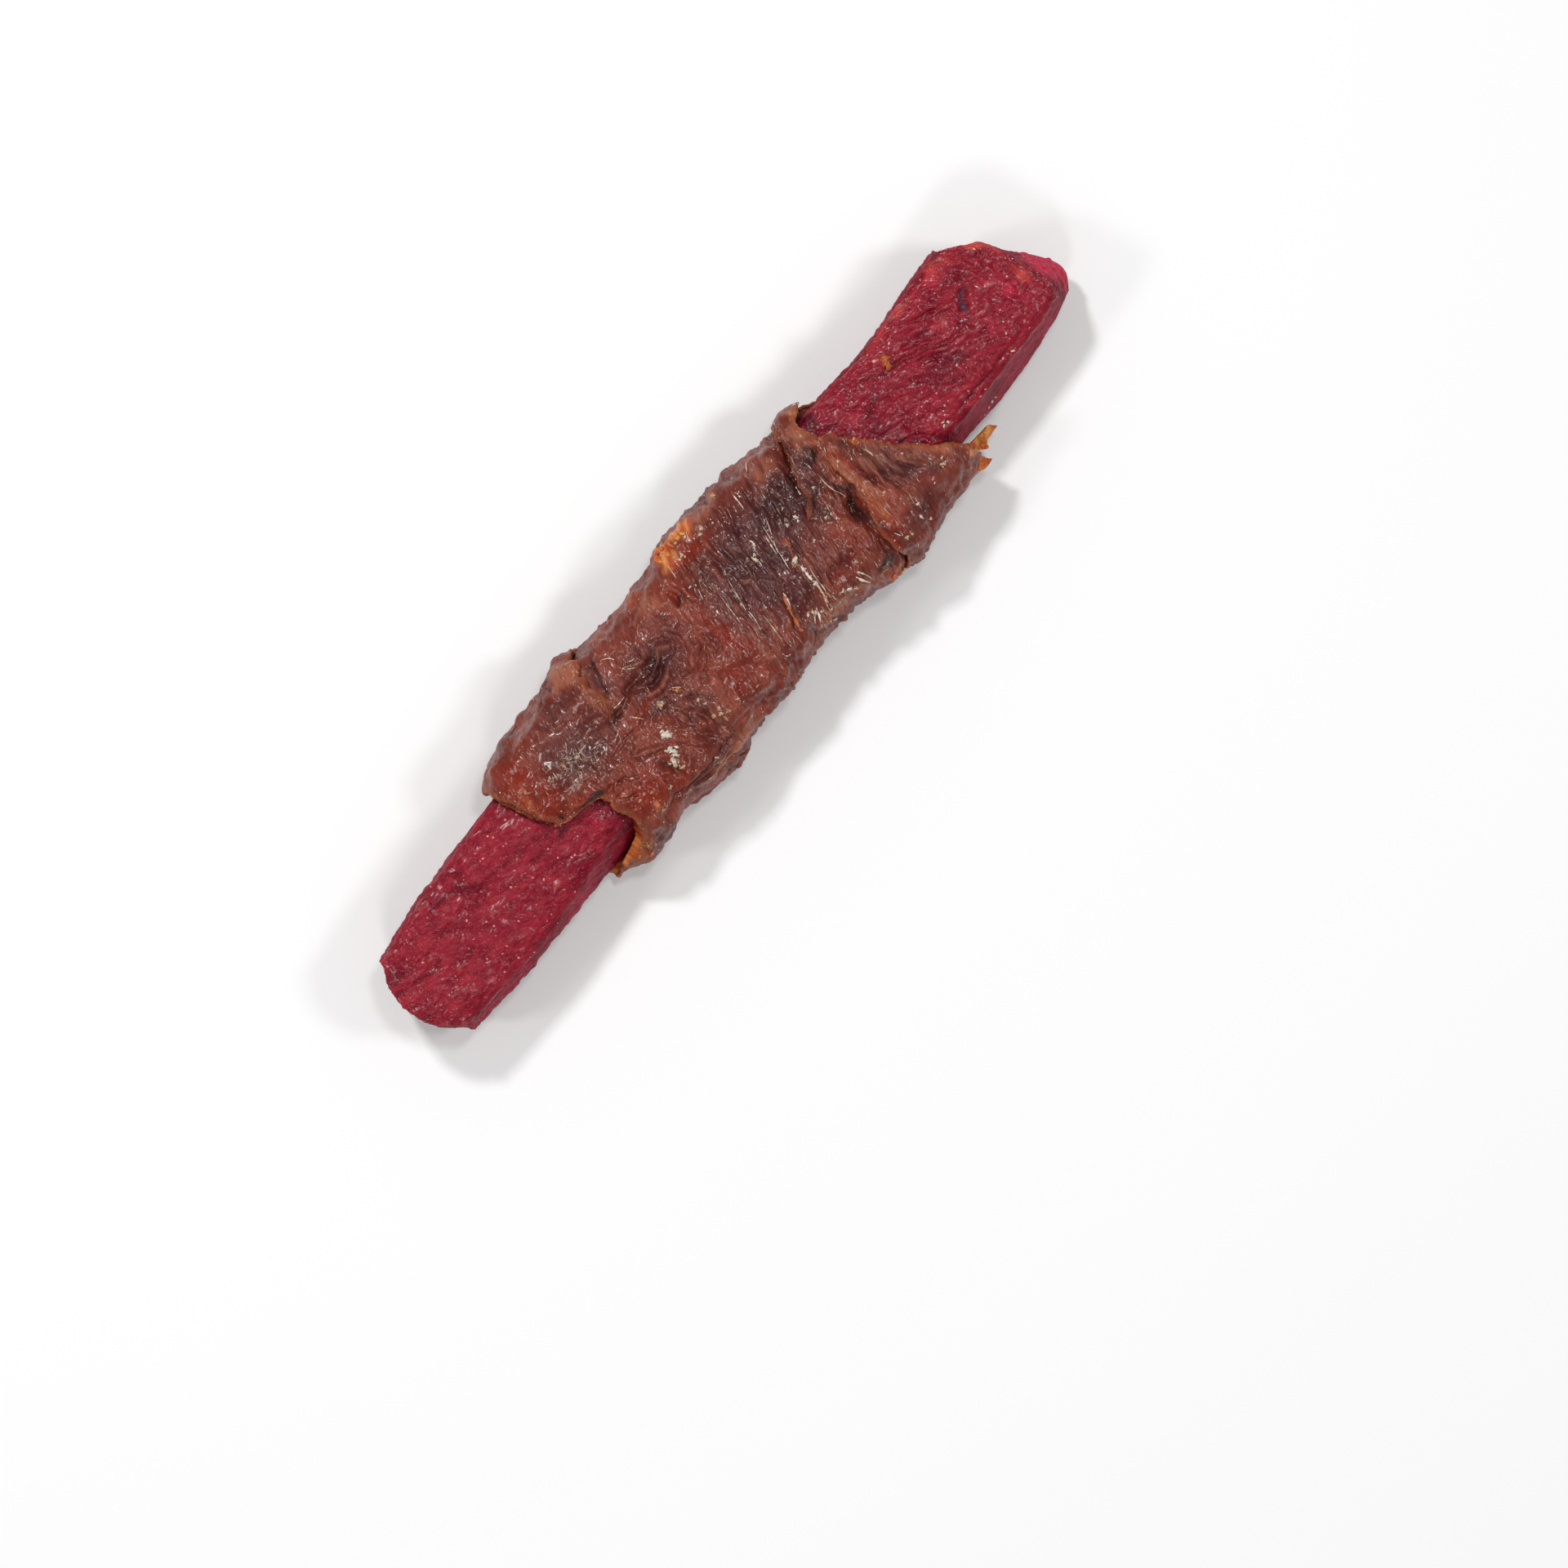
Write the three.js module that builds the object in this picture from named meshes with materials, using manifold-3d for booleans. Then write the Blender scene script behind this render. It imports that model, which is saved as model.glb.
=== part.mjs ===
// A dried dog chew: a cut stick of purple sweet potato with a strip of duck meat wound round it.
// Millimetres. X runs along the stick, Y across its broad face, and Z up from the table it lies on.

import * as THREE from "three";
import { ImprovedNoise } from "three/addons/math/ImprovedNoise.js";
import { mergeVertices } from "three/addons/utils/BufferGeometryUtils.js";
import Module from "manifold-3d";

const wasm = await Module();
wasm.setup();
const perlin = new ImprovedNoise();

// The middle of the stick runs level at this height above the table.
const coreHeight = 6;
const stickWidth = 12;
// Half of the stick's thickness in its middle and at the cut tip
const stickHalfThickness = 3.15;
const tipHalfThickness = 2.7;
// Clear space between the stick and the meat
const fitGap = 0.3;
// How far the meat stands off the stick where its two ends open
const mouthFlare = 0.45;
// A full turn round the chew, in degrees. An angle is 0 on top and 90 towards +Y.
const fullTurn = 360;

// A smooth curve through [position, value] points, held level past both ends
function through(points) {
  const last = points.length - 1;
  const slope = (i) => {
    if (i === 0 || i === last) return 0;
    const run = points[i + 1][0] - points[i - 1][0];
    return (points[i + 1][1] - points[i - 1][1]) / run;
  };
  return (at) => {
    if (at <= points[0][0]) return points[0][1];
    if (at >= points[last][0]) return points[last][1];
    const i = points.findIndex((point) => point[0] > at) - 1;
    const run = points[i + 1][0] - points[i][0];
    const t = (at - points[i][0]) / run;
    const ease = t * t * (3 - 2 * t);
    const leave = slope(i) * run * t * (1 - t) * (1 - t);
    const arrive = slope(i + 1) * run * t * t * (t - 1);
    return points[i][1] + (points[i + 1][1] - points[i][1]) * ease + leave + arrive;
  };
}

// The stick: Y of its two long edges, and of the ridge where the slanted side meets the top face
const stickFarEdge = through([
  [-42, 4.9], [-34, 5.7], [-24, 6], [18, 6], [25.5, 5.6], [31, 5.95], [35.5, 6.3], [38, 5.9],
]);
const stickNearEdge = through([
  [-42, -5], [-34, -5.5], [-27, -5.5], [-21, -5.75], [0, -5.9], [25, -6.2], [32, -6.35], [38, -5.6],
  [41, -4.9],
]);
const stickRidge = through([
  [-42, -4.4], [-28, -4.9], [-22, -4.2], [0, -4.2], [24, -4.6], [33, -4.6], [38, -4.5], [41, -4],
]);
// X of the two slanting end cuts, from the near edge (-1) across to the far edge (1)
const heldCut = through([[-1, -39.8], [-0.5, -41.4], [0, -41.9], [0.5, -41.5], [1, -40.2]]);
const shownCut = through([
  [-1, 40.8], [-0.8, 41.6], [-0.6, 41.9], [-0.25, 41.3], [0.2, 40], [0.55, 39.1], [0.75, 37.9], [1, 36],
]);
// How much further out the shown tip is at the bottom than on top: its cut slopes
const tipSlope = through([[-1, 1.7], [-0.4, 1.9], [0, 1.1], [0.4, 0.5], [1, 0.4]]);
const stickSquareness = 7;
// Where the stick starts to thin towards its shown tip
const tipTaper = { from: 33, to: 42 };
// Shallow dents left by the knife and by drying
const stickWaves = { height: 0.28, size: 5.5, across: 1.4, seed: 7 };
const stickGrid = { along: 44, across: 8, thick: 4 };
const spaceGrid = { along: 26, across: 8, thick: 3 };

// The meat: half sizes of the wound sleeve, before any flap that lies on it
const meatFarHalf = through([
  [-24, 6.7], [-21, 7.3], [-14, 7.9], [-9, 8.4], [-5, 8.1], [-0.5, 8.1], [2.3, 8.7], [6, 8.6], [10, 8.1],
  [13, 7.6], [16.5, 7.1], [22, 6.6],
]);
const meatNearHalf = through([
  [-22.5, 6.6], [-20.5, 7.1], [-18.8, 7.6], [-14.3, 6.9], [-11.5, 7.4], [-8.3, 7.9], [-4, 7.4], [-1, 7.7],
  [5, 7.1], [9, 7.6], [12.5, 8.6], [15, 8.2], [20, 7.4], [25, 7.3],
]);
const meatTopHalf = through([
  [-23, 4.6], [-17, 5.1], [-12, 5.3], [-7, 5.2], [0, 5.6], [7, 5.7], [12, 5.4], [16, 4.7], [20, 4.3],
  [25, 4.2],
]);
const meatUnderHalf = through([
  [-23, 5.2], [-18, 5.7], [-12, 5.8], [-6, 6.05], [0, 6.1], [12, 6.05], [17, 5.8], [22, 5.6], [25, 5.2],
]);
const meatSquareness = 2.9;
// X of the sleeve's two open ends, by angle; the held end has a torn notch on its near side
const heldMouth = through([
  [-180, -22.6], [-115, -22], [-95, -21], [-80, -19], [-66, -18], [-45, -17.4], [-26, -17.7], [-12, -18],
  [-7, -19], [-1, -21.5], [20, -22.4], [60, -23.2], [110, -23.3], [180, -22.6],
]);
// Where the two mouths start to widen
const flareStart = 14.5;
const flareEnd = 21.5;
// Torn edges waver by this much
const raggedness = { depth: 0.3, size: 1.7 };
const shownMouth = through([
  [-180, 20.4], [-120, 22.8], [-88, 24], [-60, 22.8], [-40, 21.2], [-20, 19.4], [0, 17.7], [18, 16.9],
  [60, 16.8], [95, 17], [125, 18.8], [180, 20.4],
]);
const lipThinning = { reach: 2.2, depth: 0.55 };
// Between these the sleeve's rows of points stand square to the stick, whatever the mouths do
const sleeveMiddle = { from: -15.5, to: 15, share: 0.68 };
const sleeveGrid = { around: 56, along: 54 };
// The flat discs that close the sleeve before it is hollowed stand this far out
const sleeveCap = 20;
const meatWaves = { height: 0.24, size: 3 };
// Wrinkles pulled across the strip as it was wound: they lean along X by this much for each mm of Y
const wrinkles = { height: 0.17, spacing: 3.3, lean: 0.36, from: -1, to: 13, ease: 3 };
// Swellings and hollows that stand out: place, spread along X and round the chew, and height
const lumps = [
  { x: -2.2, angle: 54, spreadX: 1.5, spreadAngle: 13, height: 0.5 },
  { x: -0.5, angle: 46, spreadX: 0.6, spreadAngle: 6, height: -0.45 },
  { x: -7.5, angle: 27, spreadX: 3.4, spreadAngle: 12, height: -0.5 },
  { x: -14.5, angle: -30, spreadX: 3, spreadAngle: 20, height: 0.3 },
  { x: 4.6, angle: -37, spreadX: 0.6, spreadAngle: 10, height: 0.3 },
  { x: 14.8, angle: -24, spreadX: 0.9, spreadAngle: 10, height: -0.55 },
  { x: 12.9, angle: -66, spreadX: 0.9, spreadAngle: 8, height: -0.5 },
  { x: 13.5, angle: 12, spreadX: 1.8, spreadAngle: 14, height: -0.35 },
];

// Flaps of the strip that lie on the sleeve. Each runs round it between two edges given by angle.
const heelFlap = {
  start: 2,
  startSlant: 9,
  end: 296,
  fade: 22,
  left: through([
    [2, -21.6], [60, -23.4], [110, -23.4], [180, -20.4], [225, -16.6], [262, -13.2], [285, -11.2],
    [296, -9.6],
  ]),
  right: through([
    [2, -14.5], [14, -12.8], [22, -12.1], [34, -11], [48, -10.6], [60, -9.9], [85, -9.5], [180, -7.4],
    [262, -5.2], [280, -5.8], [296, -8],
  ]),
  thickness: through([[20, 0.6], [40, 0.9], [60, 1.05], [90, 1.1], [180, 0.5], [262, 0.8], [296, 0.7]]),
  edge: 0.4,
  grid: { along: 46, across: 8 },
};
const neckFold = {
  start: 1,
  startSlant: 5,
  end: 215,
  fade: 18,
  left: through([
    [1, 11.6], [12, 12.6], [30, 13.1], [45, 14], [60, 14.9], [80, 15.5], [135, 15.6], [215, 14.4],
  ]),
  right: through([[1, 16.6], [60, 17.4], [84, 17.7], [108, 18.3], [126, 19.9], [180, 21.6], [215, 23]]),
  thickness: through([[20, 0.6], [45, 0.8], [60, 0.95], [90, 1], [180, 0.5], [215, 0.6]]),
  edge: 0.4,
  grid: { along: 30, across: 6 },
};
const collarTail = {
  start: 200,
  startSlant: 0,
  end: 399,
  fade: 0,
  left: through([
    [200, 14.6], [270, 13.8], [288, 14.2], [302, 14], [315, 14.4], [330, 15.4], [345, 15.9], [375, 16],
    [388, 16.4], [399, 17.1],
  ]),
  right: through([
    [200, 22.4], [240, 24.2], [270, 25.1], [288, 25], [303, 24.4], [315, 23.5], [330, 22], [345, 20.9],
    [360, 20], [375, 19.3], [388, 18.6], [399, 17.6],
  ]),
  thickness: through([[200, 0.6], [270, 1.1], [330, 1.2], [355, 1.2], [375, 1.1], [399, 0.9]]),
  edge: 0.4,
  grid: { along: 40, across: 8 },
};
// How deep a flap's underside sinks into the sleeve, so that the two join
const flapRoot = 0.6;
// How far a fading end of a flap dips under the sleeve's surface
const flapBlend = 0.25;
// Higher is squarer: how full a flap is between its thin edges
const flapFullness = 4;

// A dry curled flake of meat that sticks out past the collar, low on the near side: by X
const flake = {
  from: 22.4,
  to: 27.9,
  farEdge: through([[22.4, -6.7], [25, -6.55], [27.2, -6.6], [27.9, -6.8]]),
  nearEdge: through([[22.4, -7.9], [25.2, -7.3], [26.1, -7.9], [26.9, -7.5], [27.9, -7.1]]),
  height: through([[22.4, 3.2], [25, 2.9], [27.9, 3.9]]),
  halfThickness: through([[22.4, 0.55], [25, 0.4], [27.9, 0.16]]),
  edgeThinning: 0.6,
  grid: { along: 10, across: 3 },
};

// The table that the chew lies on, as a block below Z = 0
const table = { width: 200, depth: 20 };

const potatoLook = { color: 0x7d1a2c, roughness: 0.42, metalness: 0 };
const meatLook = { color: 0x633a2c, roughness: 0.5, metalness: 0 };
// Points closer than this are one point
const weld = 1e-4;

// A bump of height 1 that falls away on both sides of a centre
function bell(distance, spread) {
  return Math.exp(-((distance / spread) ** 2));
}

// The smaller way round from one angle to another
function turnBetween(angle, other) {
  return Math.abs(((((angle - other) % fullTurn) + fullTurn * 1.5) % fullTurn) - fullTurn / 2);
}

// Moves every point of a closed geometry and makes it a solid
function solidFrom(geometry, place) {
  const position = geometry.getAttribute("position");
  const point = new THREE.Vector3();
  for (let i = 0; i < position.count; i++) {
    point.fromBufferAttribute(position, i);
    place(point);
    position.setXYZ(i, point.x, point.y, point.z);
  }
  geometry.deleteAttribute("normal");
  geometry.deleteAttribute("uv");
  const merged = mergeVertices(geometry, weld);
  const solid = new wasm.Manifold(
    new wasm.Mesh({
      numProp: 3,
      vertProperties: new Float32Array(merged.getAttribute("position").array),
      triVerts: new Uint32Array(merged.index.array),
    }),
  );
  return solid;
}

// Pulls a point of a 2 mm square onto a square with round corners
function roundCorners(point, squareness) {
  const reach = Math.max(Math.abs(point.y), Math.abs(point.z));
  if (reach === 0) return;
  const length = (Math.abs(point.y) ** squareness + Math.abs(point.z) ** squareness) ** (1 / squareness);
  point.y *= reach / length;
  point.z *= reach / length;
}

// Places a point of a 2 mm cube on the stick, or on the same shape grown by some millimetres
function placeOnStick(point, grow) {
  roundCorners(point, stickSquareness);
  const across = point.y;
  const up = point.z;
  const share = (point.x + 1) / 2;
  const shown = shownCut(across) - (tipSlope(across) * (up + 1)) / 2;
  const cut = THREE.MathUtils.lerp(heldCut(across), shown, share);
  const low = THREE.MathUtils.lerp(stickNearEdge(cut), stickRidge(cut), (up + 1) / 2);
  const middle = (stickFarEdge(cut) + low) / 2;
  const half = (stickFarEdge(cut) - low) / 2 + grow;
  const tipShare = THREE.MathUtils.smoothstep(cut, tipTaper.from, tipTaper.to);
  const thick = THREE.MathUtils.lerp(stickHalfThickness, tipHalfThickness, tipShare) + grow;
  const turned = stickWaves.across;
  const wave = perlin.noise(cut / stickWaves.size, across * turned, up * turned + stickWaves.seed);
  const dent = wave * stickWaves.height;
  point.set(cut, middle + across * (half + dent), coreHeight + up * (thick + dent));
}

function makeStick() {
  const { along, across, thick } = stickGrid;
  return solidFrom(new THREE.BoxGeometry(2, 2, 2, along, across, thick), (point) => placeOnStick(point, 0));
}

// The space kept for the stick, open at both ends and a little wider there
function makeStickSpace() {
  const { along, across, thick } = spaceGrid;
  return solidFrom(new THREE.BoxGeometry(2, 2, 2, along, across, thick), (point) => {
    placeOnStick(point, fitGap);
    const flare = mouthFlare * THREE.MathUtils.smoothstep(Math.abs(point.x), flareStart, flareEnd);
    point.y *= 1 + flare / stickWidth;
    point.z = coreHeight + (point.z - coreHeight) * (1 + flare / stickHalfThickness);
  });
}

// How far the sleeve's outer surface lies from the middle line, at an X and an angle
function meatRadius(x, angle) {
  const side = Math.sin(THREE.MathUtils.degToRad(angle));
  const up = Math.cos(THREE.MathUtils.degToRad(angle));
  const halfWide = side > 0 ? meatFarHalf(x) : meatNearHalf(x);
  const halfHigh = up > 0 ? meatTopHalf(x) : meatUnderHalf(x);
  const sum = Math.abs(side / halfWide) ** meatSquareness + Math.abs(up / halfHigh) ** meatSquareness;
  const radius = sum ** (-1 / meatSquareness);
  const waveAt = 1 / meatWaves.size;
  let relief = perlin.noise(x * waveAt, radius * side * waveAt, radius * up * waveAt) * meatWaves.height;
  for (const lump of lumps) {
    const round = bell(turnBetween(angle, lump.angle), lump.spreadAngle);
    relief += lump.height * round * bell(x - lump.x, lump.spreadX);
  }
  const phase = ((x - side * radius * wrinkles.lean) / wrinkles.spacing) * 2 * Math.PI;
  const shown = THREE.MathUtils.smoothstep(x, wrinkles.from, wrinkles.from + wrinkles.ease);
  const hidden = THREE.MathUtils.smoothstep(x, wrinkles.to - wrinkles.ease, wrinkles.to);
  relief += Math.sin(phase) * wrinkles.height * shown * (1 - hidden);
  return radius + relief;
}

// Puts a point at an X, an angle and a distance from the middle line
function putRound(point, x, angle, radius) {
  const turned = THREE.MathUtils.degToRad(angle);
  point.set(x, Math.sin(turned) * radius, coreHeight + Math.cos(turned) * radius);
}

// X along the sleeve, for a share from its held mouth (0) to its shown mouth (1)
function alongSleeve(held, shown, share) {
  const { from, to } = sleeveMiddle;
  const endShare = (1 - sleeveMiddle.share) / 2;
  if (share < endShare) return THREE.MathUtils.lerp(held, from, share / endShare);
  if (share > 1 - endShare) return THREE.MathUtils.lerp(shown, to, (1 - share) / endShare);
  return THREE.MathUtils.lerp(from, to, (share - endShare) / sleeveMiddle.share);
}

// How far a torn edge wavers at an angle; each edge has its own seed
function ragged(angle, seed) {
  const turned = THREE.MathUtils.degToRad(angle);
  const reach = stickWidth / 2 / raggedness.size;
  return perlin.noise(Math.cos(turned) * reach, Math.sin(turned) * reach, seed) * raggedness.depth;
}

// The wound meat without its flaps, still without the space for the stick
function makeSleeve() {
  const tube = new THREE.CylinderGeometry(1, 1, 1, sleeveGrid.around, sleeveGrid.along);
  return solidFrom(tube, (point) => {
    const reach = Math.hypot(point.x, point.z);
    const angle = THREE.MathUtils.radToDeg(Math.atan2(point.z, point.x));
    const held = heldMouth(angle) + ragged(angle, 1.5);
    const shown = shownMouth(angle) + ragged(angle, 2.5);
    const x = alongSleeve(held, shown, point.y + 0.5);
    const toEnd = Math.min(x - held, shown - x);
    const lip = lipThinning.depth * (1 - THREE.MathUtils.smoothstep(toEnd, 0, lipThinning.reach));
    const radius = reach * (meatRadius(x, angle) - lip);
    putRound(point, reach === 0 ? Math.sign(x) * sleeveCap : x, angle, radius);
  });
}

// A flap is a bent plate: thin at its two long edges, thicker between them, its root in the sleeve
function makeFlap(flap) {
  const { along, across } = flap.grid;
  return solidFrom(new THREE.BoxGeometry(2, 2, 2, along, across, 1), (point) => {
    const start = flap.start + flap.startSlant * (point.y + 1);
    const angle = THREE.MathUtils.lerp(flap.end, start, (point.x + 1) / 2);
    const left = flap.left(angle) + ragged(angle, 3.5);
    const right = flap.right(angle) + ragged(angle, 4.5);
    const x = THREE.MathUtils.lerp(left, right, (point.y + 1) / 2);
    const swell = 1 - Math.abs(point.y) ** flapFullness;
    const rise = flap.edge + (flap.thickness(angle) - flap.edge) * swell;
    const shown = flap.fade > 0 ? Math.min(1, (angle - start) / flap.fade) : 1;
    const depth = point.z > 0 ? THREE.MathUtils.lerp(-flapBlend, rise, shown) : -flapRoot;
    putRound(point, x, angle, meatRadius(x, angle) + depth);
  });
}

function makeFlake() {
  const { along, across } = flake.grid;
  return solidFrom(new THREE.BoxGeometry(2, 2, 2, along, across, 1), (point) => {
    const x = THREE.MathUtils.lerp(flake.from, flake.to, (point.x + 1) / 2);
    const y = THREE.MathUtils.lerp(flake.nearEdge(x), flake.farEdge(x), (point.y + 1) / 2);
    const thin = 1 - flake.edgeThinning * point.y * point.y;
    point.set(x, y, flake.height(x) + point.z * flake.halfThickness(x) * thin);
  });
}

// Cut away to leave the flat that the chew rests on
function makeTable() {
  const { width, depth } = table;
  return solidFrom(new THREE.BoxGeometry(width, width, depth), (point) => {
    point.z -= depth / 2;
  });
}

function makeMeat() {
  let meat = makeSleeve();
  for (const flap of [heelFlap, neckFold, collarTail]) meat = meat.add(makeFlap(flap));
  meat = meat.add(makeFlake());
  return meat.subtract(makeStickSpace()).subtract(makeTable());
}

function meshOf(name, solid, look) {
  const made = solid.getMesh();
  const geometry = new THREE.BufferGeometry();
  geometry.setAttribute("position", new THREE.BufferAttribute(made.vertProperties, made.numProp));
  geometry.setIndex(new THREE.BufferAttribute(made.triVerts, 1));
  geometry.computeVertexNormals();
  const mesh = new THREE.Mesh(geometry, new THREE.MeshStandardMaterial(look));
  mesh.name = name;
  return mesh;
}

const chew = new THREE.Group();
chew.add(meshOf("sweet_potato_stick", makeStick(), potatoLook));
chew.add(meshOf("duck_wrap", makeMeat(), meatLook));

export default chew;
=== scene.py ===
import math
import random
from bisect import bisect_right

import bmesh
import bpy
from mathutils import Matrix, Vector, noise
from mathutils.bvhtree import BVHTree


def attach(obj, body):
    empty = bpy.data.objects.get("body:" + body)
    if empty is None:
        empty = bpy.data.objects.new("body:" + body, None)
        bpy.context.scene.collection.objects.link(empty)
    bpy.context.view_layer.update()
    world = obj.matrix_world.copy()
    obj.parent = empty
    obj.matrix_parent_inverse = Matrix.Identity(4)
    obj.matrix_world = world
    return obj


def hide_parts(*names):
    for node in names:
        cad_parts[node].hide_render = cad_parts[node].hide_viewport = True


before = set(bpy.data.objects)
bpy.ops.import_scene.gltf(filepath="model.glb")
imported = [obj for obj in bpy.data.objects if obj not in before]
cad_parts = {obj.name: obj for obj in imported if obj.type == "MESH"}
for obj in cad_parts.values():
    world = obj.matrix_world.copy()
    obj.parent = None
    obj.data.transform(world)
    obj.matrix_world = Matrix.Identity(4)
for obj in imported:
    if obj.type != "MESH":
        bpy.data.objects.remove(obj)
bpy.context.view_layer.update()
print("frame loaded")

# Shapes are worked out in millimetres and scaled to metres when a piece is finished.
mm = 0.001
noise.seed_set(237)  # or noise_vector starts from the clock, and each run differs


def curve(*points):
    # smooth line through (place, value) points, level past both ends
    places = [p[0] for p in points]
    values = [p[1] for p in points]
    last = len(points) - 1
    slopes = [0] * len(points)
    for i in range(1, last):
        slopes[i] = (values[i + 1] - values[i - 1]) / (places[i + 1] - places[i - 1])

    def at(place):
        if place <= places[0]:
            return values[0]
        if place >= places[last]:
            return values[last]
        i = bisect_right(places, place) - 1
        run = places[i + 1] - places[i]
        t = (place - places[i]) / run
        value = values[i] + (values[i + 1] - values[i]) * t * t * (3 - 2 * t)
        value += slopes[i] * run * t * (1 - t) * (1 - t)
        return value + slopes[i + 1] * run * t * t * (t - 1)

    return at


def mix(a, b, share):
    return a + (b - a) * share


def clamp(value, low=0, high=1):
    return max(low, min(high, value))


def soft(low, high, value):
    t = clamp((value - low) / (high - low))
    return t * t * (3 - 2 * t)


def bell(distance, spread):
    return math.exp(-((distance / spread) ** 2))


# The potato stick, the same curves as the solid: X runs along it, Y across, Z up
stick = {
    "coreHeight": 6,
    "halfThickness": 3.15,
    "tipHalfThickness": 2.7,
    "squareness": 7,
    "farEdge": curve((-42, 4.9), (-34, 5.7), (-24, 6), (18, 6), (25.5, 5.6), (31, 5.95), (35.5, 6.3), (38, 5.9)),
    "nearEdge": curve((-42, -5), (-34, -5.5), (-27, -5.5), (-21, -5.75), (0, -5.9), (25, -6.2), (32, -6.35),
                      (38, -5.6), (41, -4.9)),
    "ridge": curve((-42, -4.4), (-28, -4.9), (-22, -4.2), (0, -4.2), (24, -4.6), (33, -4.6), (38, -4.5), (41, -4)),
    "leftCut": curve((-1, -39.8), (-0.5, -41.4), (0, -41.9), (0.5, -41.5), (1, -40.2)),
    "rightCut": curve((-1, 40.8), (-0.8, 41.6), (-0.6, 41.9), (-0.25, 41.3), (0.2, 40), (0.55, 39.1), (0.75, 37.9),
                      (1, 36)),
    "tipSlope": curve((-1, 1.7), (-0.4, 1.9), (0, 1.1), (0.4, 0.5), (1, 0.4)),
    "cuts": (400, 60, 26),
    "strokeShade": 2.4,
    # share of the rows of points up to each share of the length: few in the part that the meat hides
    "rowSpread": curve((0, 0), (0.3, 0.27), (0.42, 0.68), (1, 1)),
}

# The meat sleeve: half sizes and open ends, the same curves as the solid
meat = {
    "squareness": 2.9,
    "farHalf": curve((-24, 6.7), (-21, 7.3), (-14, 7.9), (-9, 8.4), (-5, 8.1), (-0.5, 8.1), (2.3, 8.7), (6, 8.6),
                     (10, 8.1), (13, 7.6), (16.5, 7.1), (22, 6.6)),
    "nearHalf": curve((-22.5, 6.6), (-20.5, 7.1), (-18.8, 7.6), (-14.3, 6.9), (-11.5, 7.4), (-8.3, 7.9), (-4, 7.4),
                      (-1, 7.7), (5, 7.1), (9, 7.6), (12.5, 8.6), (15, 8.2), (20, 7.4), (25, 7.3)),
    "topHalf": curve((-23, 4.6), (-17, 5.1), (-12, 5.3), (-7, 5.2), (0, 5.6), (7, 5.7), (12, 5.4), (16, 4.7),
                     (20, 4.3), (25, 4.2)),
    "underHalf": curve((-23, 5.2), (-18, 5.7), (-12, 5.8), (-6, 6.05), (0, 6.1), (12, 6.05), (17, 5.8), (22, 5.6),
                       (25, 5.2)),
    "leftMouth": curve((-180, -22.6), (-115, -22), (-95, -21), (-80, -19), (-66, -18), (-45, -17.4), (-26, -17.7),
                       (-12, -18), (-7, -19), (-1, -21.5), (20, -22.4), (60, -23.2), (110, -23.3), (180, -22.6)),
    "rightMouth": curve((-180, 20.4), (-120, 22.8), (-88, 24), (-60, 22.8), (-40, 21.2), (-20, 19.4), (0, 17.7),
                        (18, 16.9), (60, 16.8), (95, 17), (125, 18.8), (180, 20.4)),
    "middle": (-15.5, 15, 0.68),
    "gap": 0.3,
    "flare": 0.45,
    "lip": 0.5,
    "rows": 340,
    "columns": 244,
    "innerRows": 34,
    "topDensity": 0.42,  # the columns stand closer on top than underneath
    "fibreTurn": 73,  # degrees from X, the way the meat's fibres run on top
}


def meatRadius(x, angle):
    side = math.sin(math.radians(angle))
    up = math.cos(math.radians(angle))
    wide = meat["farHalf"](x) if side > 0 else meat["nearHalf"](x)
    high = meat["topHalf"](x) if up > 0 else meat["underHalf"](x)
    power = meat["squareness"]
    return (abs(side / wide) ** power + abs(up / high) ** power) ** (-1 / power)


def stickRadius(x, angle, grow):
    # how far the stick's side is from the middle line, by four steps towards it
    side = math.sin(math.radians(angle))
    up = math.cos(math.radians(angle))
    thick = mix(stick["halfThickness"], stick["tipHalfThickness"], soft(33, 42, x)) + grow
    far, near, ridge = stick["farEdge"](x), stick["nearEdge"](x), stick["ridge"](x)
    power = stick["squareness"]
    radius = 5
    for step in range(4):
        level = clamp(radius * up / thick, -1, 1)
        low = mix(near, ridge, (level + 1) / 2)
        across = (radius * side - (far + low) / 2) / ((far - low) / 2 + grow)
        reach = (abs(across) ** power + abs(radius * up / thick) ** power) ** (1 / power)
        radius /= max(reach, 0.2) ** 0.8
    return radius


def putRound(x, angle, radius):
    turned = math.radians(angle)
    return Vector((x, math.sin(turned) * radius, stick["coreHeight"] + math.cos(turned) * radius))


# How far round the chew an angle is, in mm of meat surface, measured on a typical section
roundSteps = [(0, 0)]
lastPoint = putRound(0, 0, meatRadius(0, 0))
for degree in range(2, 181, 2):
    nextPoint = putRound(0, degree, meatRadius(0, degree))
    roundSteps.append((float(degree), roundSteps[-1][1] + (nextPoint - lastPoint).length))
    lastPoint = nextPoint
roundCurve = curve(*roundSteps)
roundTotal = roundSteps[-1][1] * 2


def wayRound(angle):
    whole = math.floor((angle + 180) / 360)
    inside = angle - whole * 360
    return math.copysign(roundCurve(abs(inside)), inside) + whole * roundTotal


# The same for a point seen from above, by its Y
aboveSteps = [(putRound(0, a, meatRadius(0, a)).y, s) for a, s in roundSteps if a <= 76]
aboveCurve = curve(*aboveSteps)


def wayFromAbove(y):
    return math.copysign(aboveCurve(abs(y)), y)


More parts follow.
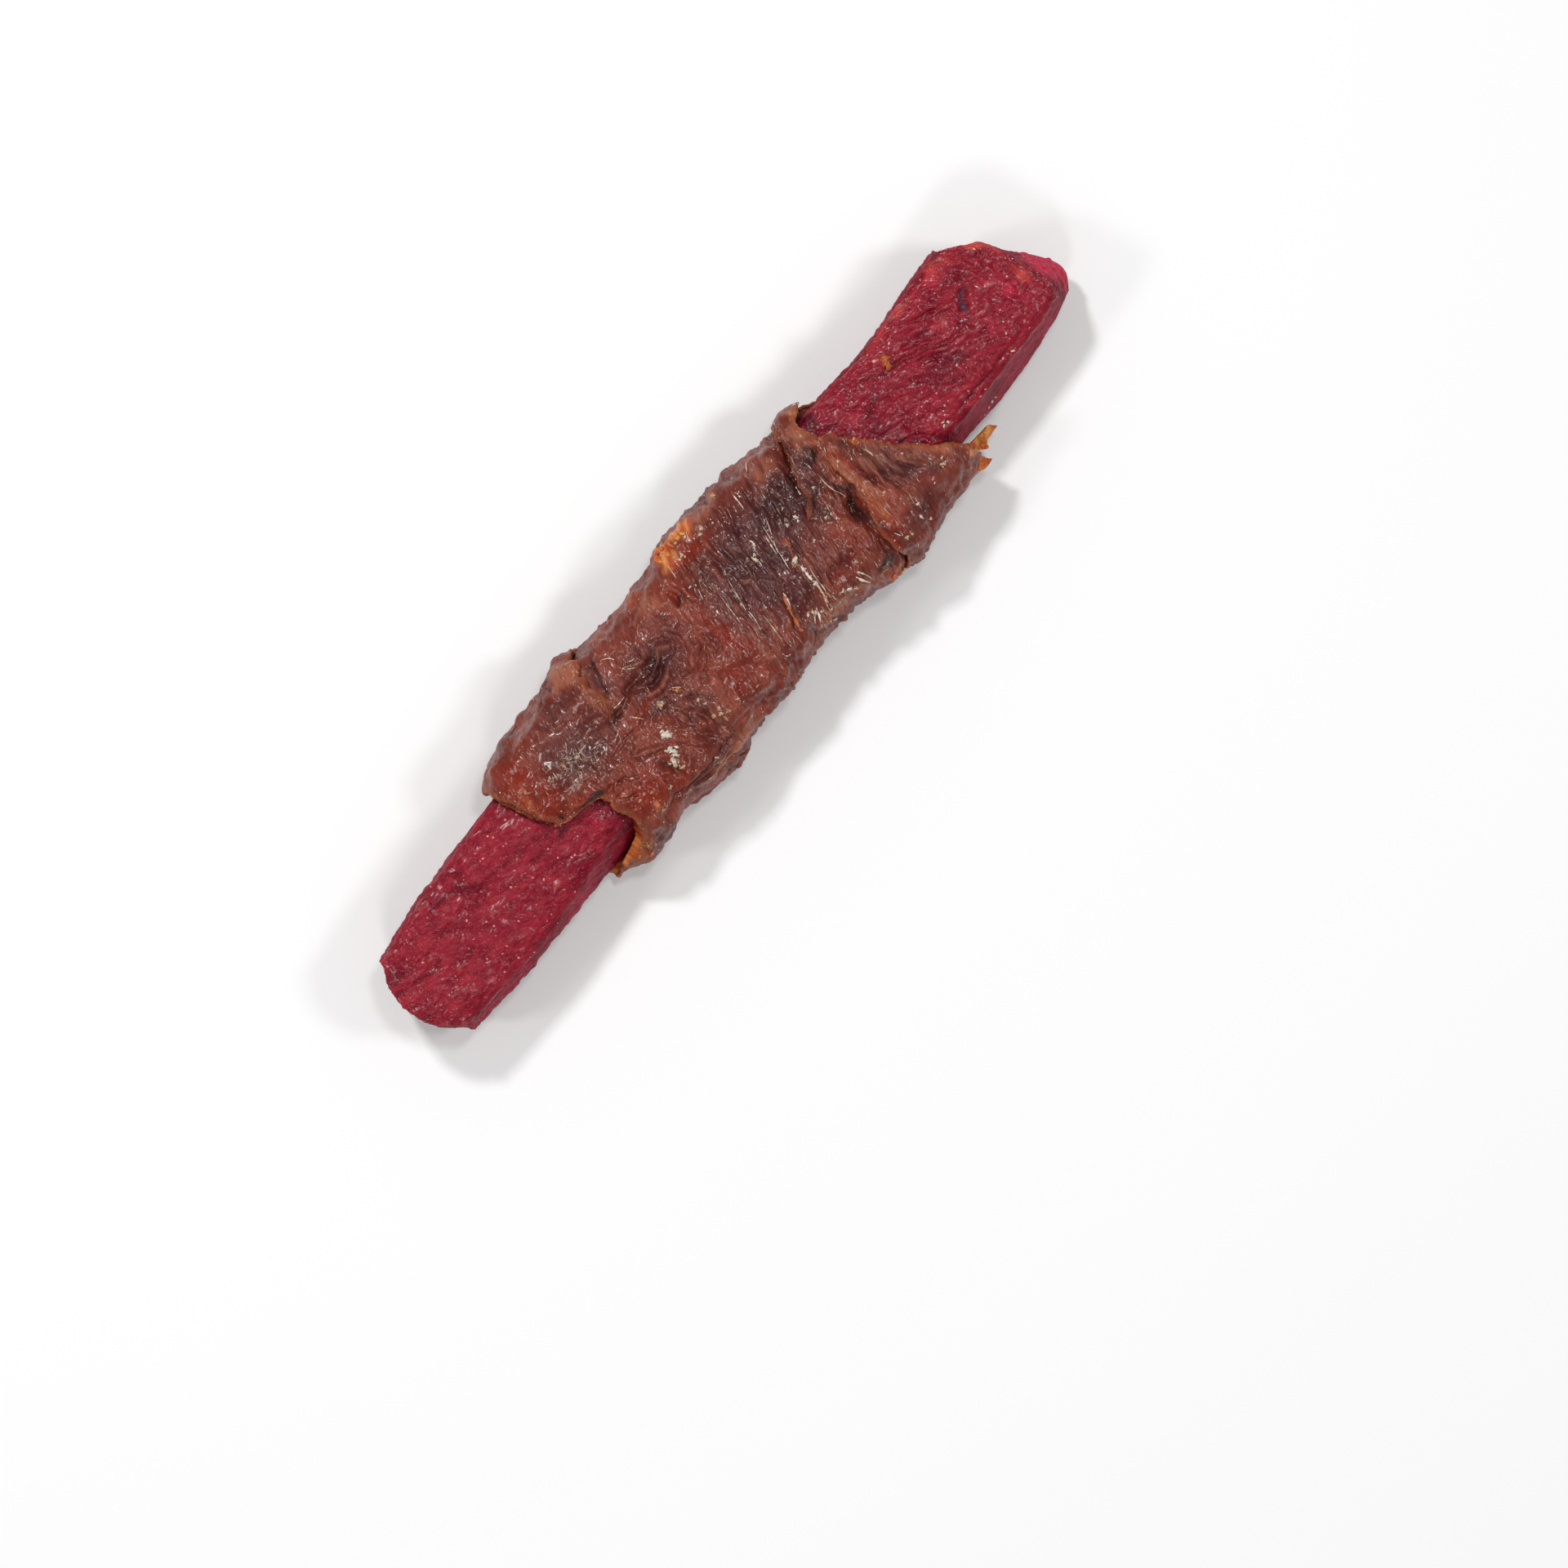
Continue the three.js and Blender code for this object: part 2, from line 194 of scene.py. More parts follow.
# What stands out on the meat, in mm seen from above: X, Y, half length, half width, turn in degrees, height
meatMounds = [
    (-21.6, 7.4, 1, 0.9, 30, 0.2), (-12.2, 7.6, 1.6, 1.7, 0, 0.3), (-11, 8.3, 0.9, 0.6, 0, 0.25),
    (-11.6, 4.6, 0.8, 1.2, 0, 0.3), (-10.4, 7.2, 0.5, 0.3, -20, 0.3), (-12.2, 2.9, 0.7, 0.6, 0, 0.2),
    (-16.6, 2.6, 3, 1.3, -14, -0.25), (-17.6, 6.6, 3.4, 1, 4, 0.15), (-2.4, 5.8, 1.3, 2, 10, 0.38),
    (-0.75, 5, 0.34, 0.8, -12, -0.6), (-3.4, 7.5, 0.9, 0.4, 38, 0.3), (2.9, 7.5, 2.2, 0.55, -4, 0.3),
    (-7.6, 3.3, 3.6, 0.8, 2, -0.4), (-8.6, 0, 0.7, 0.4, 0, 0.3), (-6.7, -0.3, 0.3, 0.5, 0, 0.2),
    (-8.6, 1.9, 1.4, 0.6, 10, 0.28), (-4.8, 3.3, 0.8, 0.6, -20, 0.3), (-5.2, 1.2, 0.9, 0.7, 30, 0.2),
    (3.9, 1, 0.65, 0.32, -25, 0.34), (3.7, 1.15, 0.25, 0.14, -25, -0.3), (-14.5, -3.4, 2.4, 2, 0, 0.18),
    (-15.2, -5.7, 0.5, 0.4, 0, 0.34), (-13.4, -4.8, 0.35, 0.4, 0, 0.28), (-16.3, -1.6, 0.6, 0.4, -20, 0.2),
    (-14.8, -1.8, 0.5, 0.35, 20, 0.2), (-18.3, -6.6, 0.5, 0.5, 0, 0.3), (-2.6, -3.8, 1.4, 1, 20, -0.22),
    (-1, -5.7, 1.7, 0.9, 0, 0.2), (-8.6, -6.9, 3, 0.9, 0, 0.3), (12.7, -6.8, 1.2, 0.8, 0, -0.3),
    (12.6, -7, 0.7, 0.5, 0, 0.45), (14.75, -2.7, 0.6, 1.3, -16, -1.1), (11.8, 5.8, 1.3, 1.2, 0, 0.22),
    (13.4, 6.6, 1, 1.4, -30, 0.35), (11.2, 3.2, 1.8, 1.2, 20, -0.22), (-12.4, -1.2, 1.4, 0.9, 30, -0.16),
    (-10.2, -5, 1.8, 0.9, 10, 0.18), (-5.9, -4.4, 0.7, 0.8, 0, 0.22), (0.6, 1, 1, 2.2, -16, 0.14),
    (7, -1, 1.4, 2.4, -18, 0.15), (10.4, -4.6, 2, 0.9, 0, -0.15), (6.3, 6.8, 1.6, 0.7, 0, 0.2),
    (-17, -4, 0.7, 2.2, 4, 0.2), (5.1, -5.4, 0.9, 0.35, 40, 0.25), (10.3, -6.8, 0.4, 0.8, 10, 0.22),
    (17.6, -2.4, 0.3, 2.2, 4, -0.25), (19.2, -4.4, 0.3, 1.6, 14, -0.22), (16.6, -2.6, 0.4, 2.4, 4, 0.2),
    (21.9, -5.6, 0.7, 0.5, 30, 0.2), (20.4, -1.6, 0.35, 1.6, 24, 0.16), (17.5, 2.7, 0.9, 0.9, 0, 0.16),
]

# Creases and ridges of the meat: width, depth (below zero for a crease), and the points that it runs through. A
# crease's depth is also painted into the colour as shade, and a ridge is given a lighter tan
meatStrokes = [
    (0.3, -0.45, [(15.7, 7.7), (15.1, 6.6), (14.4, 5.6), (13.9, 4.6), (13.4, 3.4), (12.8, 2.3), (12.4, 1.2)]),
    (0.8, -0.22, [(12.6, 1.8), (12.2, 0.4), (12.5, -1.2)]), (0.16, -0.34, [(-0.05, 6), (-0.15, 4.6), (-0.6, 3.8)]),
    (0.3, 0.2, [(0.25, 6.2), (0.2, 4.2), (0.35, 2)]),
    (0.2, -0.24, [(-9.4, 2.9), (-7.4, 1.6), (-6.2, 1.9), (-5.6, 2.7)]),
    (0.16, -0.18, [(-8, 2.9), (-6.8, 2.5), (-5.6, 3.3), (-4.9, 4)]),
    (0.18, -0.2, [(-5.4, 2.5), (-4.5, 2), (-3.8, 2.6), (-4, 3.7), (-5, 4.2)]),
    (0.16, -0.24, [(-3.7, 0.9), (-3.2, 2.4), (-3.6, 3.9)]),
    (0.3, -0.34, [(-12.2, 2.5), (-10.6, 2.4), (-9.2, 3.2), (-7.8, 3.3)]),
    (0.14, -0.26, [(-4.6, -2.2), (-4, -1.2), (-3.3, -0.9), (-2.9, -1.7)]),
    (0.16, -0.2, [(-5.2, -2.6), (-4.3, -0.9), (-3, 0.1), (-1.8, 0.4)]),
    (0.16, -0.24, [(-7, -1.2), (-6.2, -1.8), (-5.2, -3.2)]),
    (0.3, -0.2, [(-8.9, 8.3), (-9.7, 6.6), (-10.5, 5), (-10.9, 3.2), (-11.2, 2.1)]),
    (0.3, 0.34, [(-8.9, 1.5), (-7.6, 0.9), (-6.4, 1.1), (-5.4, 1.9)]),
    (0.3, 0.3, [(-8, 4.4), (-6.6, 3.7), (-5.7, 4.3)]),
    (0.26, 0.3, [(-7.4, 2.1), (-6.1, 2.6), (-5, 3.4), (-4.3, 2.7)]),
    (0.3, 0.3, [(-13.4, -1.2), (-12, -1.7), (-11, -2.6)]), (0.3, 0.3, [(-10, -2.8), (-9.2, -4.2), (-8.8, -5.4)]),
    (0.3, 0.28, [(-4.8, -0.4), (-3.6, 0.6), (-2.4, 0.7)]), (0.26, -0.3, [(-12.6, -3.2), (-11.8, -4.4), (-12, -5.8)]),
    (0.26, -0.3, [(-7.8, -1.8), (-7, -3), (-6.8, -4.6)]), (0.2, -0.2, [(-13.9, 5.4), (-13.2, 6.6), (-13.7, 8)]),
    (0.16, -0.28, [(-12.6, 5.4), (-11.9, 6.2), (-11, 6.6)]), (0.14, -0.24, [(-12.4, 4.2), (-11.6, 4.9), (-11, 4.7)]),
    (0.16, -0.2, [(-15.8, 5), (-14.4, 5.1), (-13.2, 4.2)]),
    (0.15, -0.3, [(-14.4, -6.5), (-11.5, -6.7), (-8.5, -6.6), (-5.4, -6.8)]),
    (0.13, -0.26, [(-12, -7), (-9, -7.25), (-6, -7.1)]), (0.12, -0.2, [(-10.6, -7.6), (-8.6, -7.8), (-6.8, -7.6)]),
    (0.16, -0.24, [(-16.6, -1), (-15.2, -1.7), (-14.2, -2.7)]),
    (0.16, -0.24, [(-17, -2.6), (-16.2, -3.2), (-15.2, -3.4)]),
    (0.18, -0.24, [(-13, -2), (-11.6, -2.5), (-10.6, -4), (-11, -5.2)]),
    (0.16, -0.2, [(-9.4, -2.2), (-8.3, -3.6), (-8.2, -5)]), (0.14, -0.2, [(-9.6, -3.6), (-9, -4.6), (-9.4, -5.6)]),
    (0.14, -0.2, [(-14.6, 0.2), (-12.8, 0.6), (-11, 0.2), (-9.6, 0.5)]),
    (0.2, 0.22, [(3, -6.9), (3.7, -6.2), (4.6, -5.3), (5.8, -4.9)]),
    (0.18, -0.28, [(3.6, -5.2), (4.4, -3.4), (5.3, -1.9)]),
    (0.16, -0.22, [(6.2, -6.6), (6.5, -4.6), (7.2, -2.6), (7.9, -0.6)]),
    (0.14, -0.18, [(1.3, -5), (1.9, -2.8), (2.7, -0.4), (3.3, 1.4)]),
    (0.14, -0.18, [(8.4, -4), (9.1, -1.2), (9.9, 1.4)]), (0.14, -0.16, [(6.2, 2), (7, 4.2), (8, 6.2)]),
    (0.16, -0.18, [(9.4, 4.4), (10.4, 5.8), (11.6, 7)]), (0.2, -0.24, [(10.9, 4.6), (12, 5.8), (13, 7.4)]),
    (0.14, -0.2, [(0.9, 3.6), (1.5, 4.8), (1.8, 6.2)]), (0.3, 0.14, [(13.1, -1), (13.6, -3.4), (13.4, -5.6)]),
    (0.16, -0.2, [(15.9, 4.6), (16.4, 3.9), (15.8, 3.1)]), (0.2, -0.3, [(17.3, -0.6), (17.5, -2.2), (17.6, -4.2)]),
    (0.2, -0.34, [(18.9, 1.6), (18.7, -0.8), (18.4, -3.4), (18.5, -5.8)]),
    (0.34, 0.22, [(18.3, 1), (18, -1.2), (17.6, -3.6), (17.7, -5.6)]),
    (0.16, -0.24, [(19.8, -0.8), (20, -2.8), (20.6, -4.8)]), (0.3, 0.16, [(19.4, -0.6), (19.4, -2.8), (19.7, -5)]),
    (0.14, -0.18, [(20.7, -3.2), (21.6, -4.8), (22.2, -6.8)]),
]

# Tinted places of the meat: the tint, then X, Y, half length, half width, turn and strength
meatTints = {
    "plum": [
        (6.6, 1.6, 6.4, 4, 20, 1.4), (11.6, 2.4, 3.4, 3.4, 0, 1.4), (6.4, -3, 4.4, 2.6, 0, 0.9),
        (-6.2, 2.8, 3.6, 2.5, 4, 1), (-16.4, 3, 4.2, 2.4, -10, 1), (19.6, -2.6, 1.4, 3.6, 24, 1.2),
        (-10, 5.4, 0.8, 2.6, 0, 1), (-14.6, 6.2, 1.6, 1.2, 0, 0.5), (-8.2, -5.6, 2.4, 1, 0, 0.8),
        (18, -6.8, 2.4, 1.2, 0, 0.9), (21.6, -5.6, 1, 1.2, 0, 0.9), (18.6, 2, 0.9, 1.4, 0, 0.6),
        (19.6, -6.6, 3.6, 1.6, 10, 0.5), (15, 3.6, 1.2, 1.8, -16, 1), (15, 0.6, 0.7, 2.4, 0, 0.9),
        (-8.4, 0, 1.2, 0.6, 0, 0.8), (-6.2, -2.6, 1.4, 1.4, 0, 0.7), (-9, -7, 3.6, 0.8, 0, 0.8),
        (8, -6.8, 4.2, 0.9, 0, 0.6), (6.4, 8, 3, 0.8, 0, 0.8), (-14.6, -3, 1.4, 1, 0, 0.4),
        (-16.8, 6, 2.6, 0.9, 0, 0.45), (18.9, 1.6, 0.6, 1.6, 10, 0.4), (2, -2.2, 1.6, 3.4, -15, 0.6),
    ],
    "red": [
        (-18.6, 6.8, 2.4, 1.6, 0, 0.35), (-21, 4, 1.8, 3.6, 8, 1.3), (-18.8, 0.4, 2.6, 0.6, 0, 0.7),
        (-15, -4.2, 3, 2.2, 0, 0.85), (-12.4, -5.6, 2, 1, 0, 0.5), (-2.8, -3.6, 1.8, 1.8, 0, 0.7),
        (-8.6, -5.4, 1.6, 0.9, 0, 0.5), (-9.6, 0.9, 1.2, 0.6, 0, 0.8), (10.4, -4.6, 2.8, 1, 0, 0.9),
        (3.2, 5.9, 2.4, 0.8, 0, 0.9), (-0.5, -0.8, 0.8, 4.2, 0, 0.7), (-0.8, 5.3, 0.5, 0.7, 0, 1),
        (-13, 7, 1.4, 1, 60, 0.4), (15.9, -3.8, 0.9, 3.2, -14, 0.7), (17, 1.2, 0.5, 2.8, 8, 0.7),
        (12.2, -3.4, 1, 1.2, 0, 0.5), (11.4, 3, 2, 1.6, 0, 0.45), (-16.6, -1.6, 1.2, 1.6, 0, 0.4),
        (0.3, 4, 0.5, 1.8, -8, 0.6), (20.4, -5.2, 0.9, 2, 16, 0.5), (-1.6, 1.4, 1, 1.4, 0, 0.4),
        (16.6, 3.6, 0.5, 0.5, 0, 0.6), (14.6, -6.2, 0.6, 1.2, 0, 0.6),
    ],
    # the dark places are partly darker meat and partly painted shade: in the creases and pockets beside the collar,
    # along the neck fold and the heel flap's edge, and in the torn notch
    "darkAndShade": [
        (10.6, 3.9, 2.6, 1.2, 15, 0.5), (5.6, 4, 2.2, 0.8, 10, 0.4), (12.8, 3, 0.5, 2.4, -24, 0.55),
        (13, 0.6, 1.2, 2.2, -10, 0.45), (-7.4, 3.4, 3.2, 0.6, 4, 0.15), (-12, 2.4, 0.9, 0.5, 0, 0.8),
        (-21.3, 0.5, 0.35, 0.3, 0, 1.2), (-19.4, -0.4, 0.4, 0.25, 0, 1.2), (-17.9, -0.7, 0.55, 0.4, 0, 1.8),
        (14.8, -2.8, 0.65, 1.5, -16, 1.5), (15.4, 3.4, 0.7, 0.9, 0, 0.7), (12.9, -7.1, 0.9, 0.7, 0, 0.9),
        (15.3, -0.6, 0.3, 1.3, 0, 0.8), (14.9, 6, 0.3, 1.6, -24, 0.6), (-0.85, 4.6, 0.3, 0.4, 0, 0.9),
        (-15.4, 1.6, 1.6, 0.7, 0, 0.4), (-9.6, 6.8, 0.35, 1, -25, 0.6), (-10.5, 4.8, 0.35, 1.2, -15, 0.6),
        (-11.3, 2.6, 0.4, 0.7, 0, 0.7), (11.2, 3, 2.6, 2.2, 0, 0.8), (-16.4, 2.8, 2.2, 1.2, -12, 0.35),
        (10.4, -4.4, 2.6, 1.2, 0, 0.55), (2.2, 4, 2, 2, 0, 0.5), (9, -6.6, 2, 0.5, 0, 0.3),
        (15, -5.3, 0.3, 0.9, 0, 0.7),
    ],
    "frost": [
        (-18.4, 4, 1.3, 0.3, -42, 1), (-17.6, 3.2, 0.9, 0.4, -40, 0.9), (-17.9, 1.5, 1.4, 0.5, -12, 1),
        (-16.2, 2.6, 2.2, 0.7, -8, 0.9), (-14.6, 2.4, 1, 0.8, 10, 0.7), (-16.6, 2.4, 3.4, 1.7, -12, 0.3),
        (-7.7, 4.1, 0.8, 0.4, 20, 0.8), (-8.5, 0, 0.6, 0.3, 0, 1), (-6.2, -2.2, 0.5, 0.9, 14, 0.7),
        (-5.9, -4.4, 0.6, 0.6, 0, 0.8), (-6, 1, 1.4, 1.6, 0, 0.3), (6, 1.5, 0.6, 0.35, 50, 1),
        (6.8, 2.3, 0.5, 0.25, 20, 0.8), (5.4, -5.2, 0.6, 0.35, 30, 0.9), (9.1, -6.2, 0.6, 0.35, 30, 0.8),
        (10.3, -6.7, 0.35, 0.8, 10, 0.9), (13.8, 1.5, 0.4, 0.6, 10, 0.9), (8, -1, 0.4, 0.3, -30, 0.9),
        (5, 6.6, 0.8, 0.3, -10, 0.9), (2.3, 6.6, 0.3, 0.3, 0, 0.8), (10.9, 1.1, 0.5, 0.3, 0, 0.7),
        (2.4, -3, 2, 3.2, -15, 0.7), (7, -6.2, 3.6, 1.3, 0, 0.8), (4, 1.2, 3.4, 1.9, 18, 0.35),
        (8.6, -0.6, 3, 2.6, 0, 0.28), (-8.8, -7, 3.4, 0.6, 0, 0.6), (-2.6, -7, 3, 0.4, 0, 0.4),
        (7, -6.6, 2.8, 0.6, 0, 0.5), (12.4, -0.8, 0.5, 0.4, 0, 0.8), (11.6, 7, 0.8, 0.25, 24, 0.7),
        (16.4, 7.2, 0.8, 0.4, 40, 0.4), (22.4, -5.6, 0.5, 0.4, 0, 0.8), (15.4, -7.2, 0.4, 0.3, 50, 0.8),
        (19.8, -7.4, 3.6, 0.3, 8, 0.4), (-5.4, 7, 2.4, 0.6, 0, 0.35),
    ],
    "amber": [
        (1.4, 7.6, 0.9, 1.9, 0, 1.3), (3.6, 7.5, 1.8, 1.1, -4, 1), (-2.2, 7.4, 0.7, 0.5, 0, 0.45),
        (-19.4, 0.1, 2, 0.4, 0, 0.35), (8, 7.5, 0.3, 0.4, 10, 0.9), (-21.8, 4, 0.8, 2, 0, 0.35),
        (4.3, -3.6, 0.2, 1.4, -16, 0.5), (17.8, 7.4, 0.8, 0.4, -10, 0.6), (24.7, -7.6, 0.5, 0.8, 0, 1),
        (19.1, 1.4, 0.3, 0.7, 30, 0.6), (-15.2, -5.7, 0.35, 0.35, 0, 0.5), (12.9, -8.5, 0.9, 0.3, 0, 0.9),
        (8.7, 0.1, 0.25, 0.7, -16, 0.5), (-6.65, -0.4, 0.18, 0.4, 0, 0.7), (-10.8, -6.4, 0.2, 0.4, 0, 0.5),
        (16.1, -3.4, 0.6, 2.8, -10, 0.3), (-20.2, -6.4, 1, 0.9, 0, 1.2), (-19, -6.7, 0.8, 0.4, 0, 0.7),
    ],
    "tan": [
        (-2.6, 6.2, 1.3, 1.4, 10, 0.7), (-11.6, 7.2, 1.7, 1.5, 0, 1), (-11.4, 4.4, 0.8, 1.5, 0, 0.6),
        (-10.3, 7.2, 0.4, 0.3, 0, 1), (-18.4, -6.5, 0.9, 0.6, 0, 0.8), (6.4, 7, 1.8, 0.7, 0, 0.55),
        (16.6, 5.6, 0.9, 1.8, -20, 0.85), (17.4, 2.4, 0.8, 1, 0, 0.5), (20.9, -3.4, 0.5, 2.6, 27, 0.5),
        (-16.6, -6.2, 1.4, 0.5, 0, 0.4), (22.6, -4.8, 0.9, 0.6, 0, 0.5), (-3.3, 7.5, 0.8, 0.25, 38, 0.9),
        (12.2, 5.9, 1.4, 1, 20, 0.6), (16.6, -0.4, 0.6, 3.4, 6, 0.65), (18.6, -1, 1.2, 2.4, 10, 0.35),
        (15.4, 6.6, 1, 1.4, -20, 0.6), (23.4, -5.6, 0.7, 0.7, 0, 0.8), (-17.4, -3.4, 0.5, 2, 0, 0.4),
        (-8, -7.6, 3.4, 0.9, 0, 1.2), (7, -6.9, 4, 0.8, 0, 0.85), (12.2, -7.5, 0.5, 0.3, 0, 0.9),
        (3.9, 0.95, 0.5, 0.25, -25, 0.6), (-15.4, 7.4, 4, 0.5, 4, 0.3),
    ],
}

meatScatter = {
    "seed": 5,
    "rightGrooves": 130,  # short creases along the fibres, right of the middle
    "leftGrooves": 130,
    "sideGrooves": 240,  # deeper ones on the sides and underneath
    "sideTints": 90,  # tinted places on the sides and underneath, where the camera doesn't reach
    "sideMounds": 60,
    "sideTintKinds": ("red", "plum", "plum", "darkAndShade", "frost", "tan"),
    "rightPlaces": (-1, 23),
    "leftPlaces": (-22, 0),
    "sideStart": 9,  # mm round from the top
    "width": (0.09, 0.17),
    "depth": (-0.17, 0.07),
    "sideGrowth": 1.8,
    "sideWidth": 1.7,
    "points": 4,
}


def boxOf(points, spread):
    xs = [p[0] for p in points]
    ys = [p[1] for p in points]
    return min(xs) - spread, max(xs) + spread, min(ys) - spread, max(ys) + spread


squareSize = 2
fadeOut = 5  # past this a mark's bell curve counts as nothing


def squareOf(x, y):
    return math.floor(x / squareSize), math.floor(y / squareSize)


def sortMarks(marks):
    # marks by the squares that they reach, so that a point only asks those near it
    squares = {}
    for mark in marks:
        x0, x1, y0, y1 = mark["box"]
        low, high = squareOf(x0, y0), squareOf(x1, y1)
        for i in range(low[0], high[0] + 1):
            for j in range(low[1], high[1] + 1):
                squares.setdefault((i, j), []).append(mark)
    return squares


def spotMark(kind, x, y, long, wide, turn, amount):
    reach = max(long, wide) * 2.2
    a = math.radians(turn)
    return {"kind": kind, "x": x, "y": y, "cos": math.cos(a) / long, "sin": math.sin(a) / long,
            "wideCos": math.cos(a) / wide, "wideSin": math.sin(a) / wide, "amount": amount,
            "box": (x - reach, x + reach, y - reach, y + reach)}


def strokeMark(width, depth, points):
    return {"kind": "stroke", "points": points, "width": width, "amount": depth, "box": boxOf(points, width * 2.5)}


def spotAt(mark, x, y):
    dx, dy = x - mark["x"], y - mark["y"]
    along = dx * mark["cos"] + dy * mark["sin"]
    across = dy * mark["wideCos"] - dx * mark["wideSin"]
    d = along * along + across * across
    return math.exp(-d) if d < fadeOut else 0


def strokeAt(mark, x, y):
    # a crease fades towards both of its ends
    best, place = 1e9, 0
    points = mark["points"]
    for i in range(len(points) - 1):
        ax, ay = points[i]
        bx, by = points[i + 1][0] - ax, points[i + 1][1] - ay
        t = clamp(((x - ax) * bx + (y - ay) * by) / (bx * bx + by * by))
        d = (x - ax - bx * t) ** 2 + (y - ay - by * t) ** 2
        if d < best:
            best, place = d, (i + t) / (len(points) - 1)
    d = best / (mark["width"] * mark["width"])
    if d > fadeOut:
        return 0
    return math.exp(-d) * clamp(4 * place * (1 - place) + 0.15)


def addMarks(marks, tints, spot, strokeSpot, tintSpot, strokeHeight, strokeShade, lit=1):
    # relief, and depth in a crease for painted shade, that the marks of one square give a place, which they also tint
    relief, crease = 0, 0
    for mark in marks:
        kind, amount = mark["kind"], mark["amount"]
        if kind == "relief":
            relief += lit * amount * spotAt(mark, *spot)
        elif kind == "stroke":
            amount = amount * strokeAt(mark, *strokeSpot)
            relief += lit * amount * strokeHeight
            crease -= lit * amount * strokeShade
        else:
            tints[kind] = min(1, max(tints[kind], lit * (amount * spotAt(mark, *tintSpot))))
    return relief, crease


def sideways(draw):
    # somewhere on the sides or underneath
    return draw.choice((-1, 1)) * draw.uniform(meatScatter["sideStart"], roundTotal / 2)


def meatMarks():
    marks = []
    for x, y, *rest in meatMounds:
        marks.append(spotMark("relief", x, wayFromAbove(y), *rest))
    for width, depth, points in meatStrokes:
        marks.append(strokeMark(width, depth, [(x, wayFromAbove(y)) for x, y in points]))
    for kind, places in meatTints.items():
        marks += [spotMark(kind, x, wayFromAbove(y), *rest) for x, y, *rest in places]
    draw = random.Random(meatScatter["seed"])
    onTop = meatScatter["rightGrooves"] + meatScatter["leftGrooves"]
    last = meatScatter["points"] - 1
    for i in range(onTop + meatScatter["sideGrooves"]):
        right = i < meatScatter["rightGrooves"] or i >= onTop + meatScatter["sideGrooves"] / 2
        x = draw.uniform(*meatScatter["rightPlaces" if right else "leftPlaces"])
        s = draw.uniform(-roundTotal / 2, roundTotal / 2) if i < onTop else sideways(draw)
        growth, wider = (1, 1) if i < onTop else (meatScatter["sideGrowth"], meatScatter["sideWidth"])
        turn = math.radians(draw.gauss(meat["fibreTurn"], 7) if right else draw.uniform(-20, 130))
        long = draw.uniform(0.7, 2.4) * growth
        bend = draw.uniform(-0.1, 0.1) if right else draw.uniform(-0.5, 0.5)
        points = []
        for step in range(last + 1):
            points.append((x + math.cos(turn) * long * step / last, s + math.sin(turn) * long * step / last))
            turn += bend
        width, depth = draw.uniform(*meatScatter["width"]), draw.uniform(*meatScatter["depth"])
        marks.append(strokeMark(width * wider, depth * growth, points))
    for i in range(meatScatter["sideMounds"] + meatScatter["sideTints"]):
        s = sideways(draw)
        size = draw.uniform(0.6, 2.4)
        kind, amount = "relief", draw.uniform(-0.3, 0.35)
        if i >= meatScatter["sideMounds"]:
            kind = draw.choice(meatScatter["sideTintKinds"])
            amount = draw.uniform(0.3, 0.8)
        marks.append(spotMark(kind, draw.uniform(-22, 22), s, size * 1.3, size * draw.uniform(0.3, 0.6),
                              draw.gauss(meat["fibreTurn"], 25), amount))
    return sortMarks(marks)


meatSquares = meatMarks()


def turnedToFibres(x, s):
    # how far along the fibres a place is, and how far across them
    a = math.radians(meat["fibreTurn"])
    return x * math.cos(a) + s * math.sin(a), s * math.cos(a) - x * math.sin(a)


# Relief of the meat, and the painted shade in the grain's valleys. The pairs are for the left half, where the fibres
# swirl, and the right, where they run straight
meatGrain = {
    "middle": (-3, 1.5),
    "bend": (2.4, 0.3),
    "drawn": (0.6, 0.2),
    "bundle": (0.5, 0.28),
    "strand": (0.12, 0.26),
    "thread": (0.02, 0.12),
    # the two valley values only darken the colour in the valleys between bundles and strands, as painted shade
    "bundleValleyShade": (0.2, 0.34),
    "strandValleyShade": (0.04, 0.22),
    "calm": (0.78, 1),
    "valleyWidth": 0.1,
    "usual": 0.22,  # what is taken off a folded pattern, so that it neither adds nor takes height
    "strokeHeight": 1.35,
    "strokeShade": 2.8,
}


